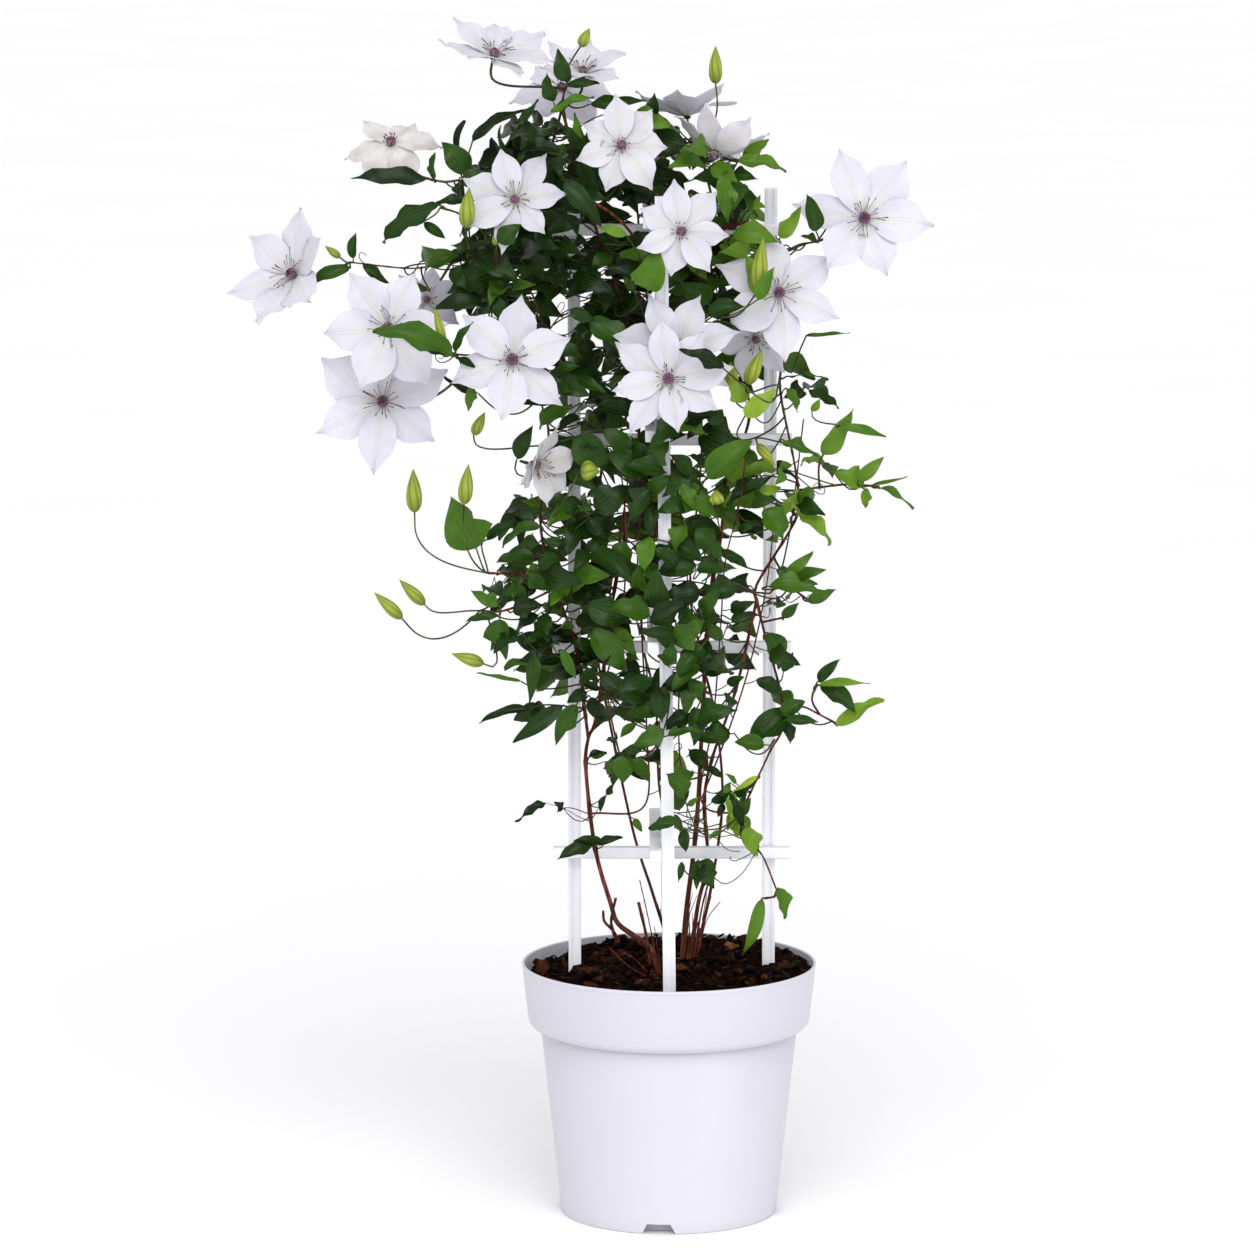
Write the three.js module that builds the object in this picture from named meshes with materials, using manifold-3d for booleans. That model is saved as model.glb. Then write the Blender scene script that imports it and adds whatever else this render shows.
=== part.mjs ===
// A large-flowered clematis in a 26 cm pot, climbing a pair of crossed ladder trellises.
// Millimetres, +Z up. The origin is the middle of the pot's base, on the ground; the
// flowering side of the plant looks along -Y.
import * as THREE from 'three';
import Module from 'manifold-3d';

const wasm = await Module();
wasm.setup();

// ---- Driving dimensions ----------------------------------------------------------------
const POT = {
  height: 224, rimRadius: 130, wall: 2.2, lip: 0.8, sides: 32,
  footRadius: 95.4, footHeight: 11, footStep: 0.7, bodyRadius: 113.4,
  collarHeight: 57, collarRadius: 124.4, collarEdge: 5.5, floor: 2.5,
};
const NOTCH = { count: 4, turn: -5.6, topWidth: 20.5, footWidth: 31, height: 9.4, reach: 40, roof: 2.2 };
const SOIL = { level: 216.5, riseX: 0.035, riseY: 0.03, mound: 9, moundRadius: 55, rings: 5, edgeDip: 4 };
const TRELLIS = {
  postWidth: 11, postDepth: 9, groove: 0.8, grooveWidth: 5, top: 907.7, foot: 150, footPoint: 16,
  halfSpacing: 85.5, centreX: 2.3, lean: -0.65,
  barHeight: 10, barDepth: 10, barLength: 209, firstBar: 324, barPitch: 182.9, bars: 4, crossLift: 14,
};
const GAP = 0.35;              // clearance between neighbouring solids
const CANE_FOOT = 194;         // height at which a cane's buried end stops
const CANE_SIDES = 5;
const LEAF_STALK = 0.75;       // radius of a leaf stalk
const FLOWER_STALK = 1.1;      // radius of a flower stalk
const LEAF_RIB = 1.7;          // thickness of a leaf at its midrib
const LEAF_FOLD = 14;          // degrees that each half of a leaf rises from the midrib
const LEAF_ARCH = 0.1;         // rise of a leaf's middle as a share of its length
const SEPAL_RIB = 1.5;         // thickness of a sepal along its middle
const SEPAL_LIFT = 4.5;        // degrees between neighbouring sepals and the bloom's plane
const SEPAL_WIDTH = 0.6;       // full width of a sepal as a share of its length, of six
const SEPAL_NARROWING = 0.06;  // and less for each sepal more
const HUB = { back: 2.5, front: 1, radius: 3.2, rib: 0.75, neck: 9 };
const CROWN = { points: 8, base: 2.4, inner: 4.5, outer: 13, dome: 10 };

const COLOURS = {
  pot: 0xe6e4f2, soil: 0x2a1c14, trellis: 0xe9e8f0, cane: 0x4b2a1c, sepal: 0xece9f7, crown: 0x5f3a58,
};

// ---- The plant's plan: canes, side shoots, blooms, buds and leaves ------------------------
// A cane runs from the soil, or from another cane of its vine, through its points. A side
// shoot starts on the stem nearest to its first point.
const CANES = [
  { vine: 'left', radii: [4.2, 1.6], points: [
    [-15, -45, 242], [-29, -46, 255], [-45, -44, 267], [-51, -42, 283], [-65, -38, 333],
    [-73, -32, 401], [-71, -30, 429], [-63, -32, 453], [-48, -30, 560], [-36, -28, 621],
    [-28, -30, 672], [-27, -30, 713], [-31, -26, 770], [-45, -20, 821], [-62, -25, 869],
    [-93, -40, 978],
  ] },
  { vine: 'left', radii: [2.2, 1.0], points: [
    [-71, -30, 429], [-75, -45, 465], [-81, -55, 511], [-105, -62, 587], [-112, -60, 626],
    [-108, -58, 669], [-105, -52, 703], [-112, -45, 733], [-108, -35, 779], [-121, -30, 822],
    [-147, -32, 845], [-181, -38, 850], [-207, -44, 844], [-229, -50, 843], [-275, -60, 849],
  ] },
  { vine: 'thin', radii: [1.7, 1.3], points: [
    [-4, 25, 236], [-4, 25, 274], [-2, 24, 311], [-2, 22, 345], [-9, 20, 380], [-12, 18, 455],
    [-23, 16, 504], [-23, 14, 554], [-12, 14, 602], [-1, 14, 651], [-2, 18, 712], [-12, 20, 774],
    [-23, 22, 830], [-28, 20, 887], [-31, 12, 927],
  ] },
  { vine: 'centre', radii: [4.6, 1.6], points: [
    [13, 8, 237], [16, 8, 273], [25, 10, 356], [34, 6, 528], [46, 6, 610], [49, 4, 652],
    [70, 4, 714], [47, 6, 793], [40, 6, 880], [24, -16, 951],
  ] },
  { vine: 'right', radii: [3.8, 1.9], points: [
    [20, 0, 236], [26, 2, 277], [34, 4, 314], [31, -2, 369], [38, -6, 408], [58, -14, 469],
    [76, -24, 550],
  ] },
  { vine: 'right', radii: [1.9, 1.1], points: [
    [76, -24, 550], [76, -24, 564], [105, -28, 613], [112, -28, 634], [109, -26, 667],
    [97, -22, 726], [96, -24, 750], [100, -2, 783], [96, 26, 817], [83, 34, 860], [55, 22, 877],
  ] },
  { vine: 'right', radii: [1.8, 1.1], points: [
    [76, -24, 550], [82, -28, 525], [100, -42, 452], [86, -46, 417], [63, -46, 364], [67, -46, 343],
    [81, -44, 328], [94, -40, 296],
  ] },
  { vine: 'back_left', radii: [2.6, 1.2], points: [
    [-1, 48, 233], [-15, 60, 276], [-34, 70, 338], [-63, 72, 482], [-70, 70, 546], [-59, 64, 671],
    [-68, 60, 743], [-94, 50, 858], [-104, 36, 938],
  ] },
  { vine: 'back_right', radii: [2.6, 1.2], points: [
    [28, 48, 235], [39, 60, 285], [48, 66, 357], [42, 70, 429], [28, 72, 491], [19, 70, 554],
    [29, 66, 689], [13, 58, 823], [-1, 40, 921],
  ] },
];
const SHOOTS = [
  [[-112, -34, 893], [-146, -44, 901], [-163, -52, 910], [-178, -58, 919], [-193, -60, 918], [-208, -62, 921]],
  [[-147, -32, 845], [-159, -52, 872], [-179, -64, 890], [-197, -72, 897]],
  [[-108, -35, 779], [-129, -66, 773], [-165, -90, 772], [-183, -112, 775], [-184, -136, 777]],
  [[-90, -40, 965], [-92, -52, 988], [-88, -62, 1002]],
  [[-108, -62, 565], [-128, -74, 554], [-147, -82, 549], [-164, -84, 550]],
  [[-110, -62, 579], [-133, -68, 580], [-157, -72, 581]],
  [[-9, 20, 417], [-13, -30, 424], [-24, -52, 424], [-37, -58, 417]],
  [[31, -10, 924], [43, -40, 935], [58, -58, 936]],
  [[83, 34, 860], [98, 0, 854], [112, -36, 862], [127, -50, 866]],
  [[111, -28, 646], [130, -36, 651], [152, -40, 654], [172, -40, 653], [182, -40, 652]],
  [[130, -36, 651], [129, -40, 667], [132, -44, 679], [145, -45, 707]],
  [[100, -42, 452], [114, -46, 460], [131, -42, 452], [147, -40, 443]],
  [[131, -42, 452], [124, -42, 465], [128, -40, 479]],
  [[88, -29, 532], [99, -44, 538]],
  [[96, -26, 586], [104, -44, 567], [120, -48, 554]],
  [[94, -40, 298], [92, -44, 291], [81, -52, 291]],
];
const BLOOMS = [
  { at: [-151, -70, 1025], facing: [0.2, -0.35, 0.91], reach: 52, sepals: 7, spin: 10, cup: 14 },
  { at: [-240, -40, 949], facing: [-0.04, -0.64, 0.77], reach: 45, sepals: 6, spin: 5, cup: -14 },
  { at: [-75, -30, 1008], facing: [0.05, -0.4, 0.91], reach: 43, sepals: 6, spin: 15, cup: 20 },
  { at: [-94, 25, 991], facing: [0, -0.45, 0.89], reach: 49, sepals: 6, spin: 0, cup: -12 },
  { at: [-42, -85, 951], facing: [0.05, -0.97, 0.18], reach: 42, sepals: 7, spin: -5, cup: 4 },
  { at: [15, 0, 970], facing: [-0.1, 0.28, 0.95], reach: 52, sepals: 6, spin: 5, cup: 18 },
  { at: [39, -60, 944], facing: [-0.3, -0.5, -0.81], reach: 46, sepals: 6, spin: 30, cup: -34 },
  { at: [-132, -90, 905], facing: [-0.15, -0.95, 0.25], reach: 45, sepals: 7, spin: 5, cup: 8 },
  { at: [-322, -60, 837], facing: [-0.6, -0.65, 0.45], reach: 60, sepals: 6, spin: 30, cup: 25 },
  { at: [-240, -118, 798], facing: [-0.08, -0.96, 0.22], reach: 57, sepals: 6, spin: 5, cup: 4 },
  { at: [-246, -88, 731], facing: [-0.05, -0.95, 0.3], reach: 62, sepals: 6, spin: 25, cup: 3 },
  { at: [-135, -112, 770], facing: [0.05, -0.96, 0.25], reach: 56, sepals: 6, spin: 20, cup: 4 },
  { at: [9, -112, 880], facing: [0, -0.99, 0.1], reach: 43, sepals: 7, spin: -3, cup: 4 },
  { at: [166, -50, 885], facing: [0.15, -0.92, 0.35], reach: 62, sepals: 6, spin: -10, cup: 6 },
  { at: [93, -70, 823], facing: [0.1, -0.94, 0.3], reach: 57, sepals: 6, spin: -25, cup: 6 },
  { at: [-2, -130, 756], facing: [0, -0.97, 0.22], reach: 52, sepals: 8, spin: 10, cup: 3 },
  { at: [6, -101, 778], facing: [0.03, -0.97, 0.22], reach: 54, sepals: 7, spin: 15, cup: 4 },
  { at: [-118, -80, 677], facing: [0.75, -0.6, -0.1], reach: 40, sepals: 6, spin: 20, cup: 30 },
  { at: [74, -34, 780], facing: [0.1, -0.98, -0.05], reach: 38, sepals: 6, spin: 10, cup: 6 },
  { at: [-210, -40, 814], facing: [0.1, -0.93, 0.3], reach: 33, sepals: 6, spin: 20, cup: 6 },
];
const BUDS = [
  { base: [-77, -50, 1033], tip: [-69, -50, 1049], girth: 10 },
  { base: [39, -30, 1000], tip: [39, -30, 1033], girth: 12 },
  { base: [138, -40, 891], tip: [136, -40, 904], girth: 10 },
  { base: [-174, -112, 883], tip: [-171, -112, 918], girth: 14 },
  { base: [-283, -70, 854], tip: [-296, -70, 864], girth: 7 },
  { base: [-148, -95, 866], tip: [-150, -95, 878], girth: 7 },
  { base: [74, -104, 828], tip: [79, -100, 875], girth: 14 },
  { base: [66, -90, 747], tip: [79, -90, 777], girth: 13 },
  { base: [-169, -80, 702], tip: [-159, -80, 722], girth: 10 },
  { base: [-220, -80, 635], tip: [-221, -80, 673], girth: 14 },
  { base: [-177, -95, 644], tip: [-173, -95, 679], girth: 13 },
  { base: [-212, -75, 554], tip: [-234, -75, 576], girth: 11 },
  { base: [-231, -90, 544], tip: [-255, -90, 567], girth: 11 },
  { base: [-161, -80, 503], tip: [-189, -80, 512], girth: 11 },
  { base: [-77, -95, 674], tip: [-60, -95, 672], girth: 17 },
  { base: [40, -112, 646], tip: [39, -112, 659], girth: 13 },
  { base: [75, -80, 694], tip: [91, -80, 675], girth: 9 },
  { base: [-192, -150, 788], tip: [-200, -150, 820], girth: 8 },
  { base: [53, -60, 742], tip: [52, -60, 763], girth: 13 },
];
const LEAVES = [
  [-208, -62, 921, -274, -62, 922, 0.25], [-180, -50, 927, -179, -50, 971, 0.3],
  [-173, -62, 927, -195, -62, 955, 0.6], [-170, -40, 951, -116, -40, 983, 0.2],
  [-199, -75, 899, -249, -75, 867, 0.42], [-172, -68, 901, -205, -68, 901, 0.3],
  [-275, -62, 844, -315, -62, 834, 0.3], [-208, -75, 827, -241, -75, 832, 0.25],
  [-185, -152, 780, -252, -156, 803, 0.34], [-187, -140, 777, -214, -146, 782, 0.3],
  [-183, -135, 780, -170, -135, 808, 0.25], [-144, -58, 844, -194, -58, 825, 0.5],
  [-162, -66, 817, -207, -66, 812, 0.36], [-147, -98, 822, -139, -98, 788, 0.35],
  [-165, -72, 737, -198, -72, 752, 0.16], [-140, -45, 940, -149, -45, 967, 0.2],
  [-133, -40, 957, -113, -40, 989, 0.26], [-88, -62, 1004, -97, -62, 1033, 0.5],
  [-87, -70, 1001, -59, -70, 1006, 0.32], [-100, -74, 979, -64, -74, 991, 0.25],
  [-69, -66, 985, -20, -66, 989, 0.25], [-104, -52, 960, -116, -52, 934, 0.35],
  [-74, -48, 943, -92, -48, 967, 0.5], [-91, -100, 922, -61, -106, 882, 0.38],
  [-77, -60, 937, -59, -60, 906, 0.65], [36, -48, 944, -2, -48, 944, 0.25],
  [58, -60, 935, 103, -60, 927, 0.33], [63, -54, 938, 86, -54, 952, 0.5],
  [44, -90, 926, 48, -90, 883, 0.38], [55, -40, 904, 75, -40, 886, 0.42],
  [53, -72, 874, 97, -72, 870, 0.42], [94, -60, 870, 110, -60, 898, 0.45],
  [125, -60, 876, 116, -60, 908, 0.5], [73, -80, 824, 65, -80, 860, 0.5],
  [75, -84, 822, 87, -84, 851, 0.45], [32, -70, 807, 65, -70, 819, 0.5],
  [33, -60, 813, 9, -60, 834, 0.75], [-19, -108, 829, -13, -112, 868, 0.75],
  [-26, -96, 841, -57, -96, 847, 0.28], [44, -135, 767, 7, -141, 783, 0.35],
  [-69, -90, 801, -30, -90, 771, 0.5], [64, -92, 720, 92, -92, 741, 0.5],
  [132, -45, 680, 157, -45, 720, 0.38], [147, -45, 707, 186, -45, 694, 0.22],
  [97, -62, 693, 128, -62, 682, 0.35], [117, -64, 786, 155, -64, 788, 0.1],
  [104, -40, 748, 138, -40, 746, 0.08], [31, -112, 670, 71, -112, 705, 0.5],
  [-86, -80, 728, -117, -80, 707, 0.5], [-132, -72, 680, -121, -72, 711, 0.45],
  [-104, -78, 728, -137, -78, 732, 0.2], [-82, -70, 700, -52, -70, 674, 0.75],
  [-57, -96, 708, -24, -96, 681, 0.4], [-62, -78, 728, -24, -78, 716, 0.5],
  [-65, -82, 637, -33, -82, 660, 0.6], [-112, -76, 623, -149, -76, 605, 0.35],
  [-167, -72, 602, -193, -72, 645, 0.72], [-158, -70, 610, -132, -70, 626, 0.35],
  [-118, -80, 598, -150, -80, 590, 0.4], [-108, -88, 602, -92, -88, 576, 0.6],
  [-110, -80, 610, -82, -80, 608, 0.3], [-49, -84, 581, -78, -84, 591, 0.5],
  [-148, -82, 554, -172, -82, 568, 0.42], [-148, -80, 547, -177, -80, 543, 0.3],
  [-136, -82, 549, -110, -82, 557, 0.6], [-147, -86, 543, -142, -86, 508, 0.65],
  [-107, -70, 566, -136, -70, 574, 0.2], [-71, -84, 554, -33, -84, 541, 0.6],
  [-66, -88, 535, -38, -88, 492, 0.48], [-48, -76, 534, -28, -76, 513, 0.55],
  [-116, -70, 513, -123, -70, 464, 0.24], [-93, -86, 516, -79, -86, 491, 0.35],
  [-129, -70, 486, -167, -70, 493, 0.1], [-121, -66, 461, -167, -66, 448, 0.2],
  [-93, -68, 465, -139, -68, 433, 0.28], [-81, -74, 466, -102, -74, 432, 0.38],
  [-69, -58, 470, -55, -58, 447, 0.55], [-4, -104, 486, -10, -104, 455, 0.65],
  [-34, -62, 416, -15, -62, 396, 0.5], [-2, -104, 444, 27, -104, 449, 0.35],
  [7, -106, 371, -21, -106, 365, 0.4], [63, -66, 358, 50, -66, 388, 0.28],
  [65, -72, 357, 76, -72, 332, 0.6], [77, -60, 401, 53, -60, 387, 0.2],
  [95, -48, 299, 100, -48, 272, 0.5], [80, -56, 291, 62, -64, 241, 0.25],
  [129, -40, 481, 147, -40, 503, 0.35], [129, -40, 480, 174, -40, 482, 0.16],
  [131, -46, 478, 165, -46, 457, 0.5], [147, -40, 442, 190, -40, 466, 0.28],
  [101, -60, 451, 131, -60, 449, 0.32], [85, -50, 526, 99, -50, 493, 0.55],
  [120, -48, 553, 146, -48, 562, 0.4], [85, -74, 570, 129, -74, 564, 0.42],
  [100, -60, 579, 127, -60, 597, 0.3], [45, -40, 596, 69, -40, 580, 0.35],
  [58, -96, 572, 21, -96, 565, 0.5], [26, -90, 569, -4, -90, 563, 0.7],
  [-2, -84, 611, 29, -84, 595, 0.6], [81, -64, 636, 99, -64, 608, 0.75],
  [112, -60, 630, 144, -60, 606, 0.38], [167, -42, 653, 141, -42, 668, 0.6],
  [163, -40, 659, 185, -40, 682, 0.4], [175, -40, 654, 207, -40, 659, 0.1],
  [181, -40, 651, 211, -40, 633, 0.24], [62, -70, 650, 91, -70, 664, 0.35],
  [-17, -110, 544, 20, -110, 560, 0.5], [28, -92, 521, 9, -92, 498, 0.7],
  [-26, -76, 576, -7, -76, 555, 0.6], [-19, -90, 680, 1, -90, 699, 0.6],
];

// Leaves that fill the back of the plant: pairs along the two back canes.
const BACK_LEAVES = {
  vines: ['vine_back_left', 'vine_back_right', 'vine_thin'], lowest: 400, highest: 925, pitch: 46, turn: 137.5,
  stalk: 22, length: 44, width: 0.55, facing: 0.2,
};
// A leaf that would meet its neighbours is tried again nearer or farther, and turned.
const SHIFTS = [[0, 0], [-9, 0], [9, 0], [0, 28], [0, -28], [-16, 18], [16, -18], [-26, 0], [26, 10]];
const BENDS = [
  [0, 0, 0], [0, -0.3, -0.1], [0, 0.3, -0.1], [-0.3, 0, -0.1], [0.3, 0, -0.1], [0, 0, -0.4],
  [-0.2, -0.2, 0.1], [0.2, -0.2, 0.1], [-0.45, 0, 0], [0.45, 0, 0],
];

// ---- Small helpers ---------------------------------------------------------------------
const rad = THREE.MathUtils.degToRad;
const vec = (x, y, z) => new THREE.Vector3(x, y, z);
const UP = vec(0, 0, 1);

let seed = 20417;
function random(low, high) {
  seed = (seed * 1664525 + 1013904223) % 4294967296;
  return low + (high - low) * seed / 4294967296;
}

// A closed body through rings of points, shut by a flat cap or by a point at its end. Each
// quad is split towards its odd corner, so that the two faces of a blade are split alike.
function loft(rings, tip) {
  const count = rings[0].length;
  const points = rings.flat();
  const faces = [];
  for (let k = 0; k + 1 < rings.length; k += 1) {
    for (let i = 0; i < count; i += 1) {
      const a = k * count + i;
      const b = k * count + (i + 1) % count;
      if (i % 2 === 0) faces.push([a, b, b + count], [a, b + count, a + count]);
      else faces.push([a, b, a + count], [b, b + count, a + count]);
    }
  }
  for (let i = 1; i + 1 < count; i += 1) faces.push([0, i + 1, i]);
  const last = (rings.length - 1) * count;
  if (tip) {
    points.push(tip);
    for (let i = 0; i < count; i += 1) faces.push([last + i, last + (i + 1) % count, points.length - 1]);
  } else {
    for (let i = 1; i + 1 < count; i += 1) faces.push([last, last + i, last + i + 1]);
  }
  return solidOf(points, faces);
}

// A manifold solid from points and triangles, with its faces turned outwards.
function solidOf(points, faces) {
  let volume = 0;
  for (const [a, b, c] of faces) volume += points[a].dot(points[b].clone().cross(points[c]));
  const turned = volume < 0 ? faces.map(([a, b, c]) => [a, c, b]) : faces;
  return new wasm.Manifold(new wasm.Mesh({
    numProp: 3,
    vertProperties: new Float32Array(points.flatMap((p) => [p.x, p.y, p.z])),
    triVerts: new Uint32Array(turned.flat()),
  }));
}

// The solid of a three.js geometry, with its shared corners joined.
function solidFromGeometry(geometry, matrix = new THREE.Matrix4()) {
  const flat = geometry.index ? geometry.toNonIndexed() : geometry;
  const position = flat.getAttribute('position');
  const found = new Map();
  const points = [];
  const corner = (i) => {
    const p = vec(0, 0, 0).fromBufferAttribute(position, i).applyMatrix4(matrix);
    const key = [p.x, p.y, p.z].map((v) => Math.round(v * 1e4)).join();
    if (!found.has(key)) {
      found.set(key, points.length);
      points.push(p);
    }
    return found.get(key);
  };
  const faces = [];
  for (let i = 0; i < position.count; i += 3) {
    const face = [corner(i), corner(i + 1), corner(i + 2)];
    if (new Set(face).size === 3) faces.push(face);
  }
  return solidOf(points, faces);
}

function geometryOf(solid) {
  const mesh = solid.getMesh();
  const geometry = new THREE.BufferGeometry();
  const position = new Float32Array(mesh.triVerts.length * 3);
  mesh.triVerts.forEach((vertex, i) => {
    for (let k = 0; k < 3; k += 1) position[3 * i + k] = mesh.vertProperties[vertex * mesh.numProp + k];
  });
  geometry.setAttribute('position', new THREE.BufferAttribute(position, 3));
  geometry.computeVertexNormals();
  return geometry;
}

const plant = new THREE.Group();

function addMesh(name, geometry, colour, roughness, parent = plant) {
  const material = new THREE.MeshStandardMaterial({ color: colour, roughness, metalness: 0 });
  const mesh = new THREE.Mesh(geometry, material);
  mesh.name = name;
  parent.add(mesh);
  return mesh;
}

// Everything that later pieces have to stay clear of: { node, kind, solid, box }.
const placed = [];

function keep(node, kind, solid) {
  placed.push({ node, kind, solid, box: solid.boundingBox() });
}

function near(a, b) {
  return [0, 1, 2].every((k) => a.min[k] - GAP < b.max[k] && b.min[k] - GAP < a.max[k]);
}

function clearOf(solid, matters) {
  const box = solid.boundingBox();
  return placed.every((other) => !matters(other) || !near(box, other.box)
    || solid.minGap(other.solid, 2 * GAP) > GAP);
}

// ---- Pot and soil ------------------------------------------------------------------------
function turnedNotch(width, footWidth, height, from, to, k) {
  const section = new THREE.Shape([
    new THREE.Vector2(-footWidth / 2, -1), new THREE.Vector2(footWidth / 2, -1),
    new THREE.Vector2(width / 2, height), new THREE.Vector2(-width / 2, height),
  ]);
  const prism = new THREE.ExtrudeGeometry(section, { depth: to - from, bevelEnabled: false });
  prism.translate(0, 0, from);
  const matrix = new THREE.Matrix4().makeRotationZ(rad(NOTCH.turn + k * 360 / NOTCH.count));
  matrix.multiply(new THREE.Matrix4().makeRotationX(Math.PI / 2));
  return solidFromGeometry(prism, matrix);
}

function potProfile() {
  const p = POT;
  const waist = p.height - p.collarHeight;
  const innerTop = p.rimRadius - p.wall;
  return [
    [0, 0], [p.footRadius - 2, 0], [p.footRadius, 2], [p.footRadius + 1.6, p.footHeight],
    [p.footRadius + 1.6 - p.footStep, p.footHeight + 0.5], [p.bodyRadius, waist],
    [p.collarRadius - 4, waist + 0.6], [p.collarRadius, waist + p.collarEdge],
    [p.rimRadius - 0.3, p.height - p.lip], [p.rimRadius - 0.9, p.height], [innerTop + 0.3, p.height],
    [innerTop - 0.3, p.height - p.lip], [p.collarRadius - p.wall, waist + p.collarEdge],
    [p.bodyRadius - p.wall, waist - 2], [p.footRadius - 3, p.floor],
    [0, p.floor],
  ].map(([r, z]) => new THREE.Vector2(r, z));
}

function latheSolid(profile) {
  const lathe = new THREE.LatheGeometry(profile, POT.sides);
  return solidFromGeometry(lathe, new THREE.Matrix4().makeRotationX(Math.PI / 2));
}

function makePot() {
  const outer = POT.footRadius + 4;
  const aboveGround = solidFromGeometry(new THREE.BoxGeometry(400, 400, 40).translate(0, 0, 20.5));
  let pot = latheSolid(potProfile());
  for (let k = 0; k < NOTCH.count; k += 1) {
    const roof = turnedNotch(NOTCH.topWidth + 2 * NOTCH.roof, NOTCH.footWidth + 2 * NOTCH.roof,
      NOTCH.height + NOTCH.roof, outer - NOTCH.reach - NOTCH.roof, POT.footRadius - 1, k);
    pot = pot.add(roof.intersect(aboveGround));
  }
  for (let k = 0; k < NOTCH.count; k += 1) {
    pot = pot.subtract(
      turnedNotch(NOTCH.topWidth, NOTCH.footWidth, NOTCH.height, outer - NOTCH.reach, outer + 6, k),
    );
  }
  return pot;
}

// Height of the soil: it rises to the right and the back, is heaped round the canes, dips to
// the wall, and is rough with bark.
function soilHeight(x, y) {
  const r = Math.hypot(x, y);
  const heap = SOIL.mound * Math.exp(-(r * r) / (2 * SOIL.moundRadius ** 2));
  const dip = SOIL.edgeDip * THREE.MathUtils.smoothstep(r, 95, 126);
  const rough = 1.5 * Math.sin(0.21 * x + 1.3) * Math.cos(0.17 * y) + 1.1 * Math.sin(0.33 * x - 0.27 * y + 0.7);
  return SOIL.level + SOIL.riseX * x + SOIL.riseY * y + heap - dip + rough;
}

function soilRing(radius, heightAt) {
  return Array.from({ length: POT.sides }, (_, i) => {
    const turn = 2 * Math.PI * i / POT.sides;
    const x = radius * Math.sin(turn);
    const y = -radius * Math.cos(turn);
    return vec(x, y, heightAt(x, y));
  });
}

function makeSoil() {
  const p = POT;
  const waist = p.height - p.collarHeight;
  const slack = 0.45;
  const wall = [
    [p.footRadius - 3 - slack, p.floor + GAP],
    [p.bodyRadius - p.wall - slack, waist - 2 - slack / 2],
    [p.collarRadius - p.wall - slack, waist + p.collarEdge],
  ];
  const rings = wall.map(([r, z]) => soilRing(r, () => z));
  const edge = p.collarRadius + 1.1;
  for (let k = 0; k < SOIL.rings; k += 1) rings.push(soilRing(edge * (1 - k / SOIL.rings) ** 0.9, soilHeight));
  let soil = loft(rings, vec(0, 0, soilHeight(0, 0)));
  for (let k = 0; k < NOTCH.count; k += 1) {
    const room = NOTCH.roof + 0.5;
    soil = soil.subtract(turnedNotch(NOTCH.topWidth + 2 * room, NOTCH.footWidth + 2 * room, NOTCH.height + room,
      POT.footRadius + 4 - NOTCH.reach - room, POT.footRadius + 8, k));
  }
  return soil;
}

// ---- Trellis: two ladders that cross at right angles -----------------------------------
function postGeometry() {
  const t = TRELLIS;
  const w = t.postWidth / 2;
  const d = t.postDepth / 2;
  const g = t.grooveWidth / 2;
  const section = [[w, d], [-w, d], [-w, -d], [-g, -d], [-g + 1, -d + t.groove], [g - 1, -d + t.groove],
    [g, -d], [w, -d]];
  const ring = (z, share) => section.map(([x, y]) => vec(share * x, share * y, z));
  return geometryOf(loft([ring(t.foot, 0.25), ring(t.foot + t.footPoint, 1), ring(t.top, 1)]));
}

function makeTrellis() {
  const t = TRELLIS;
  const wide = new THREE.Group();
  wide.position.x = t.centreX;
  const deep = new THREE.Group();
  deep.position.x = t.centreX;
  deep.rotation.y = rad(t.lean);
  plant.add(wide, deep);
  const posts = [['left', wide, -t.halfSpacing, 0, 0], ['right', wide, t.halfSpacing, 0, 0],
    ['front', deep, 0, -t.halfSpacing, 0], ['back', deep, 0, t.halfSpacing, Math.PI]];
  for (const [side, ladder, x, y, turn] of posts) {
    const post = addMesh(`post_${side}`, postGeometry(), COLOURS.trellis, 0.5, ladder);
    post.position.set(x, y, 0);
    post.rotation.z = turn;
  }
  for (let k = 0; k < t.bars; k += 1) {
    const z = t.firstBar + k * t.barPitch;
    const wideBar = new THREE.BoxGeometry(t.barLength, t.barDepth, t.barHeight);
    addMesh(`bar_wide_${k + 1}`, wideBar, COLOURS.trellis, 0.5, wide)
      .position.set(0, -(t.postDepth + t.barDepth) / 2 - GAP, z);
    const deepBar = new THREE.BoxGeometry(t.barDepth, t.barLength, t.barHeight);
    addMesh(`bar_deep_${k + 1}`, deepBar, COLOURS.trellis, 0.5, deep)
      .position.set(-(t.postWidth + t.barDepth) / 2 - GAP, 0, z + t.crossLift);
  }
  plant.updateMatrixWorld(true);
  const room = new THREE.BoxGeometry(t.postWidth + 2 * GAP, t.postDepth + 2 * GAP, 2 * t.foot);
  room.translate(0, 0, 2 * t.foot - 1);
  return [...wide.children, ...deep.children].map((mesh) => ({
    name: mesh.name, solid: solidFromGeometry(mesh.geometry, mesh.matrixWorld),
    hole: solidFromGeometry(room, mesh.matrixWorld),
  }));
}

// ---- Stems ------------------------------------------------------------------------------
// Side and normal directions along a path, carried from point to point without twisting.
function framesAlong(points, first) {
  let side = first;
  return points.map((_, i) => {
    const before = points[Math.max(i - 1, 0)];
    const along = points[Math.min(i + 1, points.length - 1)].clone().sub(before).normalize();
    side = side.clone().addScaledVector(along, -side.dot(along)).normalize();
    return { side, normal: side.clone().cross(along) };
  });
}

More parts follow.
